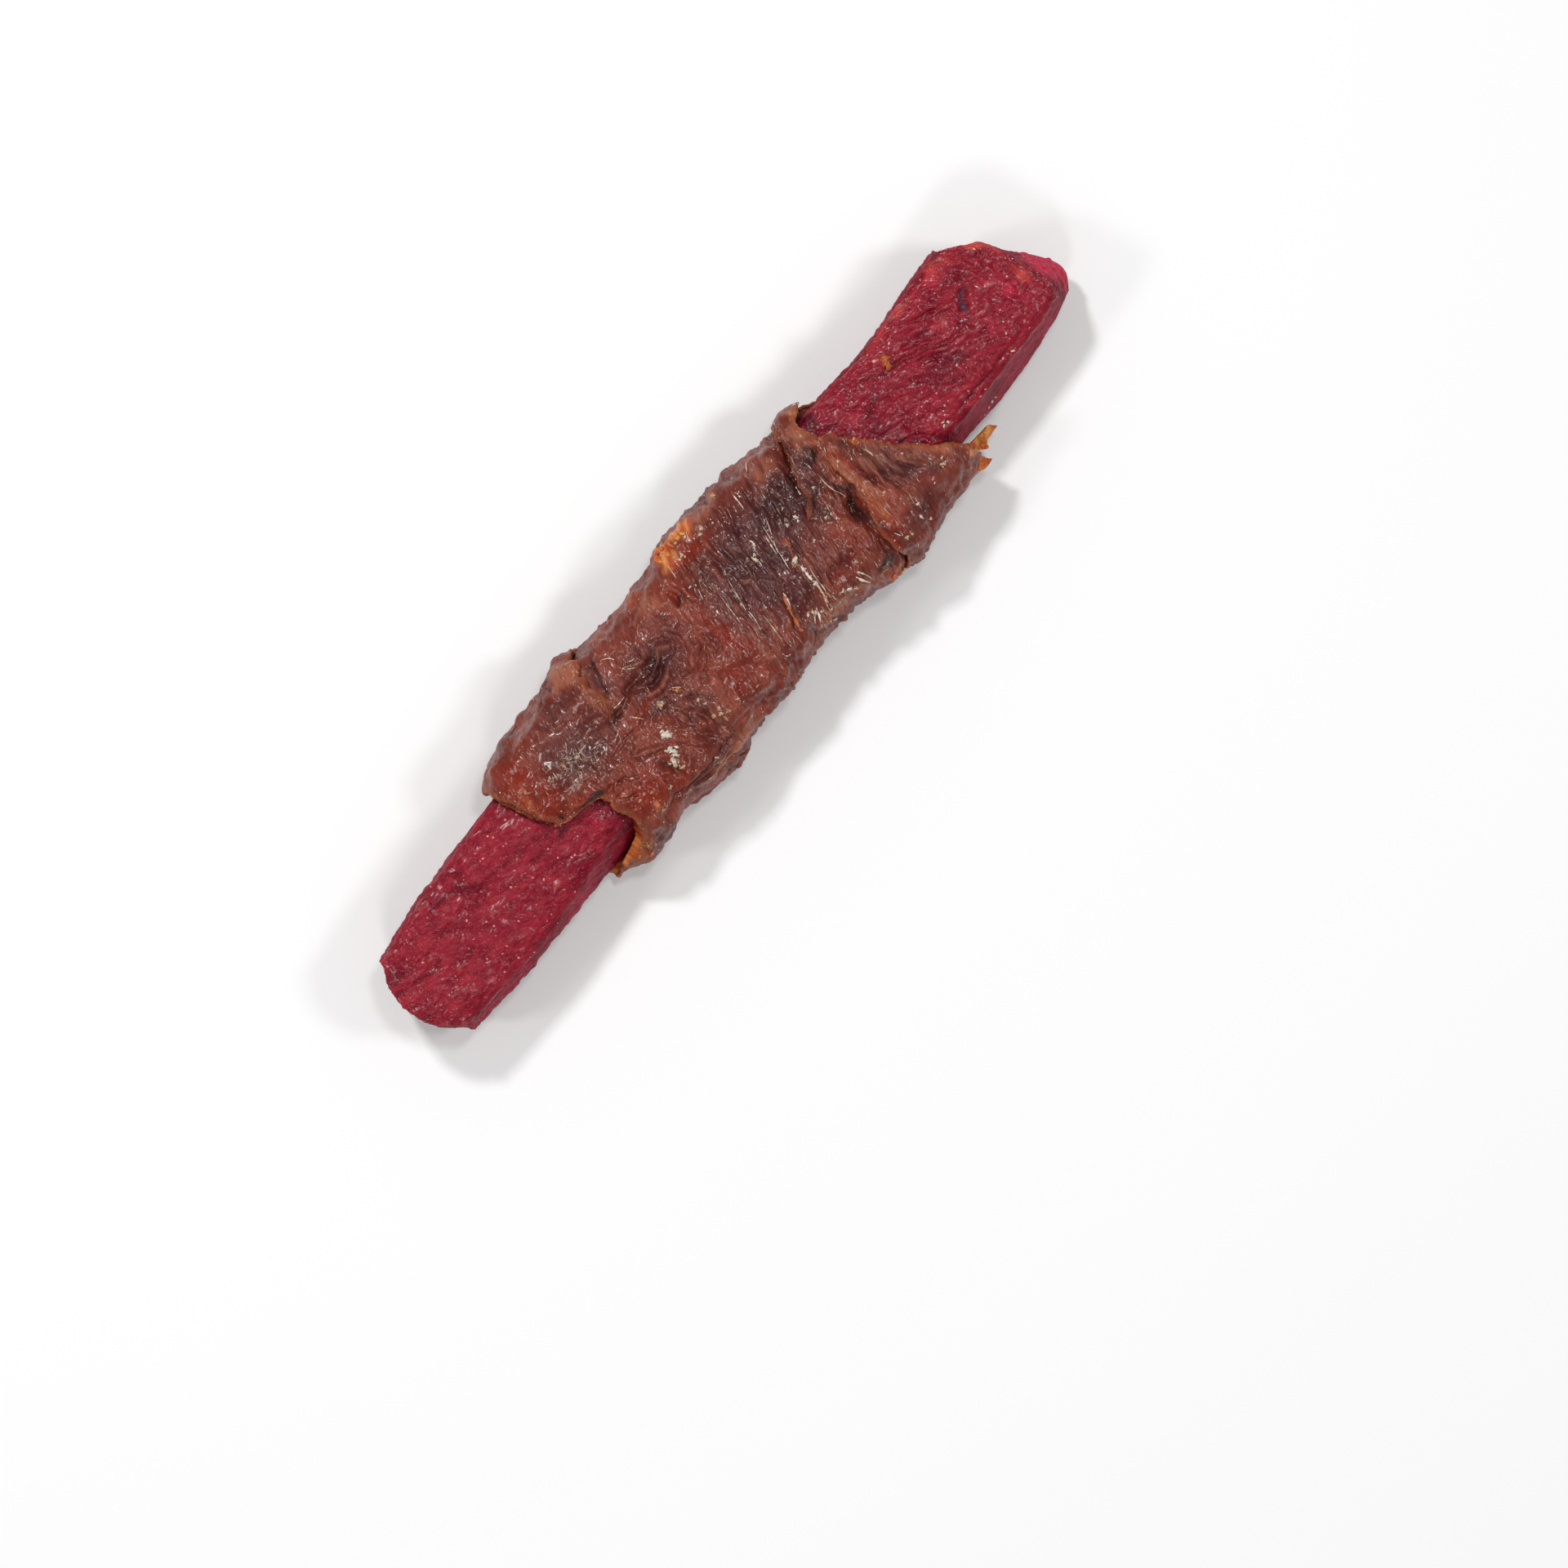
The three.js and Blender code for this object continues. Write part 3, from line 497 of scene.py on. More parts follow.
def meatSurface(place, s):
    # relief in mm at a point of the meat's plain shape, how high it stands on a ridge and how deep it lies in a crease
    # (the crease depth is painted as shade), and its tints
    x = place.x
    straight = soft(*meatGrain["middle"], x)
    bend, drawn, bundleHeight, strandHeight, threadHeight, bundleShade, strandShade, even = [
        mix(*meatGrain[name], straight)
        for name in ("bend", "drawn", "bundle", "strand", "thread", "bundleValleyShade", "strandValleyShade", "calm")]
    shift = noise.noise_vector(Vector((x * 0.7, s * 0.7, 4)))
    small = noise.noise_vector(Vector((x * 1.9, s * 1.9, 8)))
    tx, ts = x + shift.x * 0.6 + small.x * 0.3, s + shift.y * 0.6 + small.y * 0.3
    nx, ns = x + shift.x * 0.15 + small.x * 0.12, s + shift.y * 0.15 + small.y * 0.12
    tints = dict.fromkeys(meatTints, 0)
    turns = roundTotal * math.floor(s / roundTotal + 0.5)  # the strip's end has gone round once more than the marks
    near = (nx, ns - turns)
    marks = meatSquares.get(squareOf(x, s - turns), ())
    relief, crease = addMarks(marks, tints, near, near, (tx, ts - turns), meatGrain["strokeHeight"],
                              meatGrain["strokeShade"])
    bent = noise.noise_vector(place * 0.28) * bend
    along, across = turnedToFibres(x + bent.x, s + bent.y)
    bundle = abs(noise.noise(Vector((along * drawn, across * 0.85, 2.5))))
    strand = abs(noise.noise(Vector((along * drawn * 1.8, across * 1.9, 7.5))))
    thread = noise.noise(Vector((along * drawn * 2.5, across * 4.2, 1.5)))
    lumps = noise.noise(place * 0.34) * 0.28 + noise.noise(place * 0.8 + Vector((9, 2, 5))) * 0.22
    calm = 1 - 0.55 * max(tints["red"], tints["amber"])  # moist red places are smoother
    calm *= 1 - 0.5 * soft(14.5, 17, x) - 0.5 * soft(-10.5, -12.5, x) * soft(0, 2.5, s)  # so are the two ends
    calm *= even
    grain = (bundle - meatGrain["usual"]) * bundleHeight + (strand - meatGrain["usual"]) * strandHeight
    grain += thread * threadHeight + noise.noise(place * 1.5) * 0.14
    grain *= calm
    # painted shade: the grain's valleys add to the crease depth, which darkens the colour
    valleyShade = (1 - soft(0, meatGrain["valleyWidth"], bundle)) * bundleShade
    valleyShade += (1 - soft(0, meatGrain["valleyWidth"], strand)) * strandShade
    crease += valleyShade * calm * soft(-0.25, 0.4, noise.noise(place * 0.7 + Vector((3, 8, 1))))
    return relief + lumps + grain, clamp(0.42 + grain * 1.3 - crease * 0.42), tints


# What the channels of the meat's colour layers hold
meatMasks = {"toneA": ("red", "darkAndShade", "frost"), "toneB": ("amber", "tan", "ridge"), "toneC": ("plum", "rim", "side")}


def meatLayers(bm):
    return {
        "around": bm.verts.layers.float.new("around"),
        "depth": bm.verts.layers.float.new("reliefDepth"),
        "inside": bm.verts.layers.float.new("inside"),
        "rim": bm.verts.layers.float.new("rim"),
        "toneA": bm.verts.layers.float_color.new("toneA"),
        "toneB": bm.verts.layers.float_color.new("toneB"),
        "toneC": bm.verts.layers.float_color.new("toneC"),
    }


def dressMeat(bm, layers):
    # gives a meat shape its relief, along its own normals, and its tints and flow
    bm.normal_update()
    moves = []
    for vert in bm.verts:
        steep = 1 - soft(0.2, 0.8, vert.normal.z)
        relief, ridge, tints = meatSurface(vert.co, vert[layers["around"]])
        moves.append(vert.co + vert.normal * relief * vert[layers["depth"]])
        hidden = vert[layers["inside"]]
        # painted shade: points inside the sleeve's bore are darkened through the dark tint
        vert[layers["toneA"]] = (tints["red"], max(tints["darkAndShade"], hidden * 0.6), tints["frost"] * (1 - hidden), 1)
        vert[layers["toneB"]] = (tints["amber"], tints["tan"], ridge, 1)
        vert[layers["toneC"]] = (tints["plum"], vert[layers["rim"]], max(hidden, steep), 1)
    for vert, place in zip(bm.verts, moves):
        vert.co = place
        vert.co.z = max(vert.co.z, 0.01)
    flow = bm.loops.layers.uv.new("flow")
    for face in bm.faces:
        rounds = [loop.vert[layers["around"]] for loop in face.loops]
        crosses = max(rounds) - min(rounds) > roundTotal / 2
        for loop, s in zip(face.loops, rounds):
            if crosses and s < 0:
                s += roundTotal
            along, across = turnedToFibres(loop.vert.co.x, s)
            loop[flow].uv = (along / 10, across / 10)


def finishPiece(bm, name, material, nodes=()):
    bmesh.ops.scale(bm, vec=Vector((mm, mm, mm)), verts=bm.verts)
    mesh = bpy.data.meshes.new(name)
    bm.to_mesh(mesh)
    bm.free()
    mesh.shade_smooth()
    mesh.materials.append(material)
    piece = bpy.data.objects.new(name, mesh)
    bpy.context.scene.collection.objects.link(piece)
    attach(piece, "root")
    if nodes:
        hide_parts(*nodes)
    print(f"{name}: {sum(len(face.vertices) - 2 for face in mesh.polygons)} triangles")
    return piece


def ragged(angle, seed, deep=0.3):
    # how far a torn edge wavers
    turned = math.radians(angle)
    reach = Vector((math.cos(turned), math.sin(turned), 0)) * 3.5
    wave = noise.noise(reach + Vector((0, 0, seed))) * deep
    wave += noise.noise(reach * 3.1 + Vector((0, 0, seed + 9))) * deep * 0.6
    return wave + noise.noise(reach * 8 + Vector((0, 0, seed + 19))) * deep * 0.45


def alongSleeve(left, right, share):
    # X of a row of points: the rows stand closer at both mouths
    low, high, part = meat["middle"]
    end = (1 - part) / 2
    if share < end:
        return mix(left, low, share / end)
    if share > 1 - end:
        return mix(right, high, (1 - share) / end)
    return mix(low, high, (share - end) / part)


def boreRadius(x, angle):
    flare = meat["flare"] * soft(14.5, 21.5, abs(x))
    return stickRadius(x, angle, meat["gap"]) + flare


def makeSleeve(material):
    bm = bmesh.new()
    layers = meatLayers(bm)
    walls = []
    for rows in (meat["rows"], meat["innerRows"]):
        made = bmesh.ops.create_grid(bm, x_segments=rows, y_segments=meat["columns"], size=1)
        walls.append(made["verts"])
    for wall, verts in enumerate(walls):
        for vert in verts:
            turn = vert.co.y - meat["topDensity"] * math.sin(math.pi * vert.co.y) / math.pi
            angle = 180 * turn
            left = meat["leftMouth"](angle) + ragged(angle, 1.5, 0.3 + 0.3 * bell(angle + 20, 40))
            right = meat["rightMouth"](angle) + ragged(angle, 2.5)
            x = alongSleeve(left, right, (vert.co.x + 1) / 2)
            bore = boreRadius(x, angle)
            toEnd = min(x - left, right - x)
            lip = meat["lip"] * (1 - soft(0, 2.2, toEnd))
            outer = max(meatRadius(x, angle) - lip, bore + 0.25)
            vert.co = putRound(x, angle, bore if wall else outer)
            vert[layers["around"]] = wayRound(clamp(angle, -179.9, 179.9))
            vert[layers["depth"]] = 0.15 if wall else mix(0.5, 1, soft(0, 1.5, toEnd))
            vert[layers["inside"]] = wall
            vert[layers["rim"]] = 0 if wall else bell(toEnd, 0.5)
    bmesh.ops.remove_doubles(bm, verts=bm.verts, dist=0.0005)
    for side in (-1, 1):
        rim = [e for e in bm.edges if e.is_boundary and e.verts[0].co.x * side > 0]
        bmesh.ops.bridge_loops(bm, edges=rim)
    bmesh.ops.recalc_face_normals(bm, faces=bm.faces)
    dressMeat(bm, layers)
    for vert in bm.verts:
        if vert[layers["inside"]] > 0.5:  # moist amber fat lines the wall beside the torn notch
            fat = soft(-16.5, -18.5, vert.co.x) * soft(-3.5, -5, vert.co.y)
            # painted shade: the inner wall gets the dark tint, except under the fat
            vert[layers["toneA"]] = (0.6, 0.6 * (1 - fat), 0, 1)
            vert[layers["toneB"]] = (fat, 0, vert[layers["toneB"]][2], 1)
            vert[layers["toneC"]] = (0, 0, 1 - fat, 1)
    return finishPiece(bm, "duck_sleeve", material, ["duck_wrap"])


# Flaps of the strip that lie on the sleeve: their edges, thickness and how far the edges stand clear, by angle
heelFlap = {
    "name": "duck_heel_flap",
    "start": 2, "slant": 9, "end": 296, "fade": 22, "endFade": 60, "seed": 3.5,
    "left": curve((2, -21.6), (60, -23.4), (110, -23.4), (180, -20.4), (225, -16.6), (262, -13.2), (285, -11.2),
                  (296, -9.6)),
    "right": curve((2, -14.5), (14, -12.8), (22, -12.1), (34, -11.2), (40, -10.8), (46, -11.1), (52, -10.6),
                   (56, -10.9), (62, -9.9), (68, -10.3), (78, -9.7), (95, -9.6), (180, -7.4), (262, -5.2), (280, -5.8),
                   (296, -8)),
    "thick": curve((20, 0.6), (40, 0.9), (60, 1.05), (90, 1.1), (180, 0.5), (262, 0.8), (296, 0.7)),
    "edge": curve((2, 0.3), (24, 0.5), (45, 0.7), (75, 0.7), (100, 0.45), (130, 0.3), (220, 0.15), (296, 0.1)),
    "leftLift": curve((0, 0), (296, 0)),
    "rightLift": curve((14, 0), (26, 0.15), (50, 0.28), (76, 0.2), (110, 0)),
    "root": 0.5, "along": 300, "across": 90,
}
neckFold = {
    "name": "duck_neck_fold",
    "start": 1, "slant": 5, "end": 215, "fade": 18, "endFade": 30, "seed": 5.5,
    "left": curve((1, 11.6), (12, 12.6), (30, 13.2), (45, 14.1), (60, 15), (80, 15.6), (135, 15.6), (215, 14.4)),
    "right": curve((1, 16.6), (40, 17.3), (60, 17.4), (74, 18.3), (80, 18.6), (86, 17.9), (108, 18.3), (126, 19.9),
                   (180, 21.6), (215, 23)),
    "thick": curve((20, 0.6), (45, 0.8), (60, 0.9), (90, 0.9), (180, 0.5), (215, 0.6)),
    "edge": curve((1, 0.4), (60, 0.45), (100, 0.35), (160, 0.15), (215, 0.1)),
    "leftLift": curve((0, 0), (30, 0.06), (60, 0.1), (100, 0)),
    "rightLift": curve((0, 0.05), (60, 0.15), (100, 0.1)),
    "root": 0.5, "along": 210, "across": 60,
}
collarTail = {
    "name": "duck_collar_tail",
    "start": 200, "slant": 0, "end": 399, "fade": 20, "endFade": 0, "seed": 7.5,
    "left": curve((200, 14.6), (270, 13.8), (288, 14.2), (302, 14), (315, 14.4), (330, 15.3), (340, 15.7), (350, 16.1),
                  (360, 16.1), (370, 16), (382, 16.2), (390, 16.6), (399, 17.1)),
    "right": curve((200, 22.4), (240, 24.2), (270, 25.1), (288, 25), (303, 24.4), (315, 23.3), (330, 21.9),
                   (345, 20.8), (360, 20), (375, 19.3), (388, 18.6), (394, 18.4), (399, 17.6)),
    "thick": curve((200, 0.6), (270, 1.1), (330, 1.15), (355, 1.15), (375, 1.05), (399, 0.8)),
    "edge": curve((200, 0.15), (250, 0.35), (290, 0.5), (340, 0.6), (399, 0.45)),
    "leftLift": curve((280, 0.05), (310, 0.15), (330, 0.4), (350, 0.35), (380, 0.15), (399, 0.1)),
    "rightLift": curve((240, 0), (290, 0.1), (360, 0.15), (399, 0.1)),
    "root": 0.5, "along": 250, "across": 92,
}


def settleFaces(bm):
    # makes the faces again in the order of their points, as solidify leaves the rims in another order each run
    bm.verts.index_update()
    rings = []
    for face in bm.faces[:]:
        ring = [vert.index for vert in face.verts]
        first = ring.index(min(ring))
        rings.append(ring[first:] + ring[:first])
        bm.faces.remove(face)
    verts = bm.verts[:]
    for ring in sorted(rings):
        bm.faces.new([verts[i] for i in ring])


def makeFlap(flap, material):
    bm = bmesh.new()
    layers = meatLayers(bm)
    bmesh.ops.create_grid(bm, x_segments=flap["along"], y_segments=flap["across"], size=1)
    bmesh.ops.solidify(bm, geom=bm.faces[:], thickness=0.5)
    top = max(vert.co.z for vert in bm.verts)
    for vert in bm.verts:
        share, upper = (vert.co.x + 1) / 2, vert.co.z > top - 0.1
        t = math.sin(math.pi / 2 * vert.co.y)  # points stand closer towards the edges
        start = flap["start"] + flap["slant"] * (t + 1)
        angle = mix(start, flap["end"], share)
        left = flap["left"](angle) + ragged(angle, flap["seed"])
        right = flap["right"](angle) + ragged(angle, flap["seed"] + 1)
        x = mix(left, right, (t + 1) / 2)
        toEdge = (1 - abs(t)) * (right - left) / 2
        lift = flap["leftLift"](angle) if t < 0 else flap["rightLift"](angle)
        lift *= 1 - soft(0, 1.4, toEdge)
        edge = flap["edge"](angle)
        round = math.sqrt(1 - (1 - clamp(toEdge / (edge * 0.5 + 0.05))) ** 2)
        rise = lift + edge * (0.5 + 0.5 * round) + (flap["thick"](angle) - edge) * soft(0, 1.8, toEdge)
        if flap["fade"]:
            rise = mix(-0.25, rise, clamp((angle - start) / flap["fade"]))
        if flap["endFade"]:
            rise = mix(-0.2, rise, soft(0, 1, (flap["end"] - angle) / flap["endFade"]))
        under = mix(lift + edge * (0.5 - 0.5 * round), -flap["root"], soft(0.25, 1.2, toEdge))
        base = meatRadius(x, angle)
        low = max(base + min(under, rise), stickRadius(x, angle, 0.25))
        radius = max(base + rise, low)
        vert.co = putRound(x, angle, radius if upper else low)
        vert[layers["around"]] = wayRound(angle)
        vert[layers["depth"]] = mix(0.35, 1, soft(0, 0.8, toEdge)) if upper or toEdge < 0.01 else 0.35
        vert[layers["rim"]] = bell(toEdge, 0.45)
    bmesh.ops.remove_doubles(bm, verts=bm.verts, dist=0.002)
    bmesh.ops.recalc_face_normals(bm, faces=bm.faces)
    settleFaces(bm)
    dressMeat(bm, layers)
    return finishPiece(bm, flap["name"], material, ["duck_wrap"])


# What stands out on the potato, in mm seen from above, as for the meat
potatoMounds = [
    (34.5, 2.1, 0.36, 0.32, 0, -0.5), (33.65, 1.3, 0.4, 0.34, 20, -0.6), (34, 1.7, 1, 0.7, 40, -0.12),
    (22, 3.4, 2.2, 1.2, -10, -0.12), (30.5, 2.2, 3.6, 0.9, -22, -0.2), (36.2, 4.8, 1.4, 1, 0, 0.15),
    (24.6, -1.8, 1.8, 1, 0, -0.12), (28.6, -3, 2.4, 0.8, 0, 0.1), (37.6, -2, 1.8, 1.6, 0, 0.15),
    (-19.6, -2.2, 1.2, 0.9, 0, 0.2), (-21.4, -2.6, 0.8, 0.9, 0, -0.15), (28.4, -0.4, 0.7, 0.3, 10, 0.12),
    (21.6, 1.6, 0.8, 0.6, 30, 0.12), (33.4, -2.6, 1, 0.5, 20, 0.1),
]
potatoStrokes = [
    (0.16, -0.26, [(24.6, 3), (26.6, 2.6), (28.4, 1.8), (29.8, 0.8), (31.4, 0.2)]),
    (0.14, -0.24, [(26.4, 3.3), (28, 2.9), (29.6, 2), (31, 1)]),
    (0.12, -0.2, [(25.4, 2.2), (27, 1.6), (28.6, 0.8), (29.6, 0.2)]),
    (0.14, -0.24, [(28.8, 4.6), (30.4, 3.6), (31.8, 3), (33.4, 2.4)]),
    (0.12, -0.2, [(30.4, 4.6), (32.2, 4), (34.2, 3.1), (35.2, 2.8)]),
    (0.12, -0.18, [(31.6, 2.6), (32.6, 2.1), (33.2, 1.4)]), (0.12, -0.18, [(27.6, 0.9), (29.2, 0.3), (31, -0.4)]),
    (0.12, -0.16, [(33, 0.4), (34.6, 0.1), (36, -0.6)]), (0.14, -0.16, [(22.4, 1.4), (24.2, 0.6), (26, -0.4)]),
    (0.14, -0.16, [(20.4, 3.8), (21.6, 2.6), (22.4, 1)]), (0.16, -0.16, [(21, -1.4), (22.6, -2.4), (24, -3.6)]),
    (0.12, 0.12, [(23.5, -4.5), (28, -4.5), (33, -4.55), (38.5, -4.45)]),
    (0.2, -0.18, [(24, -3.95), (28, -3.95), (33, -4), (36, -4)]),
    (0.14, -0.14, [(-24, -3.6), (-21, -4.3), (-18, -4.2)]),
]
potatoTints = {
    "hole": [
        (34.5, 2.1, 0.5, 0.4, 0, 0.9), (33.65, 1.3, 0.6, 0.45, 20, 1),
    ],
    "purple": [
        (34, 1.7, 1.3, 0.8, 40, 0.6), (28.5, -0.6, 4.2, 1.6, -8, 0.5), (21.2, 0.4, 1.6, 1.8, -20, 0.55),
        (21.4, -1.6, 0.6, 0.5, -40, 1), (24, 1.8, 2.8, 1, -20, 0.4), (29.4, -1.2, 3.6, 0.8, -6, 0.55),
        (28.6, -0.4, 0.8, 0.2, 0, 0.8), (35.2, 2.6, 0.5, 1.4, 0, 0.4), (24.2, -5, 0.9, 0.8, 0, 0.9),
        (17.8, 5.2, 0.7, 1.3, 0, 1), (-18.5, -4.6, 1, 1.1, 0, 1), (-21.6, -5, 2.8, 0.6, 0, 0.7),
        (-22, -0.2, 0.8, 0.5, 0, 0.8), (18.8, 3.6, 0.8, 0.8, 0, 0.6), (22.4, -2.8, 0.6, 0.9, 30, 0.7),
        (23, 2.2, 0.7, 0.5, 0, 0.7), (-17.9, -1, 0.4, 0.5, 0, 0.9), (31, -5.3, 7.4, 0.7, 0, 0.45),
        (-18.2, -3, 0.5, 1.2, 0, 0.6),
    ],
    "skin": [
        (29.5, 5.3, 8, 0.5, -2, 0.4), (35, 5, 2.4, 0.9, -10, 0.35), (38.5, 3.4, 1.7, 0.35, -58, 1),
        (36.6, 5.6, 0.8, 0.25, -36, 0.9), (39.8, 1.6, 0.35, 0.8, 10, 1), (38.9, -0.8, 0.4, 1.3, 6, 0.7),
        (34.6, 5.7, 1, 0.25, 0, 0.5), (22.4, -3.8, 1.2, 0.3, 0, 0.35), (25.6, 3.9, 0.3, 0.4, 0, 0.5),
    ],
    "bright": [
        (41, -2.6, 0.9, 1.9, 8, 1), (26, -1.7, 0.5, 0.4, 0, 0.4), (33, 5, 2.4, 0.6, 0, 0.4),
        (37.2, -1.2, 1.6, 1.4, 0, 0.4), (25.4, 0.4, 0.8, 0.3, -20, 0.3), (21, 4.4, 1.6, 0.5, 0, 0.5),
        (33.6, -1.6, 0.9, 0.4, 10, 0.3), (-19.8, -2, 1.4, 0.9, 0, 0.3), (38.5, -5.4, 2.4, 0.3, 0, 0.4),
        (29, -3.2, 2, 0.4, 0, 0.3), (36.4, 1.4, 1.4, 0.8, 0, 0.25), (40.4, 0.2, 0.3, 0.9, 20, 0.6),
    ],
}
potatoSquares = sortMarks(
    [spotMark("relief", *spot) for spot in potatoMounds]
    + [strokeMark(*stroke) for stroke in potatoStrokes]
    + [spotMark(kind, *place) for kind, places in potatoTints.items() for place in places]
)


def potatoSurface(place, lit):
    # as for the meat; lit says how far a point looks up, because the named places are on top
    shift = noise.noise_vector(place * 0.8)
    tints = dict.fromkeys(potatoTints, 0)
    marks = potatoSquares.get(squareOf(place.x, place.y), ()) if lit > 0 else ()
    strokeSpot, tintSpot = [(place.x + shift.x * sway, place.y + shift.y * sway) for sway in (0.2, 0.5)]
    relief, crease = addMarks(marks, tints, (place.x, place.y), strokeSpot, tintSpot, 1, stick["strokeShade"], lit)
    waves = noise.noise(place * 0.3) * 0.1
    slant = Vector((place.x * 0.43 - place.y * 0.12, place.x * 0.39 + place.y * 1.45, place.z * 1.6))
    fold = abs(noise.noise(slant * 0.8 + shift * 0.3))
    wrinkle = abs(noise.noise(slant * 2 + Vector((5, 1, 2))))
    # the near cut is smooth
    coarse = mix(1.2, 1, lit) * mix(1, 0.45, soft(14, 17, place.x) * soft(-3.6, -4.4, place.y))
    grain = ((fold - 0.22) * 0.2 + (wrinkle - 0.22) * 0.15) * coarse
    grain += (noise.noise(place * 1.3) * 0.07 + noise.noise(place * 2.2) * 0.06) * coarse
    # painted shade: the wrinkle valleys add to the crease depth, which darkens the colour
    crease += ((1 - soft(0, 0.1, fold)) * 0.14 + (1 - soft(0, 0.14, wrinkle)) * 0.08) * coarse
    return relief + waves + grain, clamp(0.42 + grain * 1.8 - crease * 0.42), tints


def makePotato(material):
    bm = bmesh.new()
    bmesh.ops.create_cube(bm, size=2)
    for axis, cuts in enumerate(stick["cuts"]):
        edges = [e for e in bm.edges if abs(e.verts[0].co[axis] - e.verts[1].co[axis]) > 1]
        bmesh.ops.subdivide_edges(bm, edges=edges, cuts=cuts, use_grid_fill=True)
    tone = bm.verts.layers.float_color.new("tone")
    ridge = bm.verts.layers.float.new("ridge")
    cutSide = bm.verts.layers.float.new("cutSide")
    power = stick["squareness"]
    for vert in bm.verts:
        across, up = vert.co.y, vert.co.z
        reach = max(abs(across), abs(up))
        if reach > 0:
            pull = reach / (abs(across) ** power + abs(up) ** power) ** (1 / power)
            across, up = across * pull, up * pull
        share = stick["rowSpread"]((vert.co.x + 1) / 2)
        right = stick["rightCut"](across) - stick["tipSlope"](across) * (up + 1) / 2
        cut = mix(stick["leftCut"](across), right, share)
        low = mix(stick["nearEdge"](cut), stick["ridge"](cut), (up + 1) / 2)
        far = stick["farEdge"](cut)
        thick = mix(stick["halfThickness"], stick["tipHalfThickness"], soft(33, 42, cut))
        vert.co = Vector((cut, (far + low) / 2 + across * (far - low) / 2, stick["coreHeight"] + up * thick))
    bmesh.ops.recalc_face_normals(bm, faces=bm.faces)
    for rounds in range(2):
        bmesh.ops.smooth_vert(bm, verts=bm.verts, factor=0.5, use_axis_x=True, use_axis_y=True, use_axis_z=True)
    bm.normal_update()
    hole = bm.verts.layers.float.new("hole")
    moves = []
    for vert in bm.verts:
        lit = soft(0.1, 0.6, vert.normal.z)
        relief, height, tints = potatoSurface(vert.co, lit)
        moves.append(vert.co + vert.normal * relief)
        facet = soft(39.4, 40.6, vert.co.x) * bell(vert.co.y + 1.6, 2.6)
        vert[tone] = (tints["purple"], max(tints["bright"], facet), tints["skin"], 1)
        vert[ridge] = height
        vert[hole] = tints["hole"]
        vert[cutSide] = 1 - soft(0.2, 0.75, abs(vert.normal.z))
    for vert, place in zip(bm.verts, moves):
        vert.co = place
    return finishPiece(bm, "sweet_potato", material, ["sweet_potato_stick"])


def inksOf(look):
    # the colours of a finish, from 0 to 255, as the shader wants them
    inks = {}
    for name, colour in look["colours"].items():
        values = []
        for value in colour:
            value /= 255
            values.append(value / 12.92 if value <= 0.04045 else ((value + 0.055) / 1.055) ** 2.4)
        inks[name] = (*values, 1)
    return inks


def fill(tree, node, inputs):
    for key, value in inputs.items():
        if isinstance(value, bpy.types.NodeSocket):
            tree.links.new(value, node.inputs[key])
        else:
            node.inputs[key].default_value = value
    node.location = (len(tree.nodes) % 8 * 190, len(tree.nodes) // 8 * -260)
    return node


def addNode(tree, kind, inputs=None, **settings):
    node = tree.nodes.new(kind)
    for name, value in settings.items():
        setattr(node, name, value)
    return fill(tree, node, inputs or {})


def sums(tree, operation, a, b, c=0, limit=False):
    inputs = {0: a, 1: b} if operation != "MULTIPLY_ADD" else {0: a, 1: b, 2: c}
    return addNode(tree, "ShaderNodeMath", inputs, operation=operation, use_clamp=limit).outputs[0]


def spread(tree, value, low, high, toLow=0, toHigh=1):
    return addNode(tree, "ShaderNodeMapRange", {"Value": value, "From Min": low, "From Max": high, "To Min": toLow,
                                                "To Max": toHigh}, interpolation_type="SMOOTHSTEP").outputs[0]


def noiseOf(tree, vector, scale, detail=4, roughness=0.6):
    return addNode(tree, "ShaderNodeTexNoise", {"Vector": vector, "Scale": scale, "Detail": detail,
                                                "Roughness": roughness}).outputs["Fac"]


def tint(tree, share, under, over, blend="MIX"):
    # lays one colour over another; each may be a colour or a socket
    node = tree.nodes.new("ShaderNodeMix")
    node.data_type = "RGBA"
    node.blend_type = blend
    return fill(tree, node, {0: share, 6: under, 7: over}).outputs[2]


def wash(tree, under, pattern, low, high, share, over):
    # lays a colour over another where a pattern passes from low to high, at most to that share
    return tint(tree, spread(tree, pattern, low, high, 0, share), under, over)


def times(tree, a, b, limit=False):
    return sums(tree, "MULTIPLY", a, b, limit=limit)


def wavering(tree, pattern, amount, value):
    # a value that a noise pattern moves up and down
    return sums(tree, "MULTIPLY_ADD", sums(tree, "SUBTRACT", pattern, 0.5), amount, value)


def attributeOf(tree, name):
    return addNode(tree, "ShaderNodeAttribute", attribute_name=name).outputs


def channels(tree, colour):
    return addNode(tree, "ShaderNodeSeparateColor", {"Color": colour}).outputs


def objectPlace(tree):
    return addNode(tree, "ShaderNodeTexCoord").outputs["Object"]


def greyOf(tree, value):
    return addNode(tree, "ShaderNodeCombineColor", {"Red": value, "Green": value, "Blue": value}).outputs[0]


def newGroup(name, inputs, outputs):
    tree = bpy.data.node_groups.new(name, "ShaderNodeTree")
    for label, kind, value in inputs:
        socket = tree.interface.new_socket(name=label, in_out="INPUT", socket_type=kind)
        if value is not None:
            socket.default_value = value
    for label in outputs:
        tree.interface.new_socket(name=label, in_out="OUTPUT", socket_type="NodeSocketFloat")
    return tree, tree.nodes.new("NodeGroupInput").outputs, tree.nodes.new("NodeGroupOutput").inputs


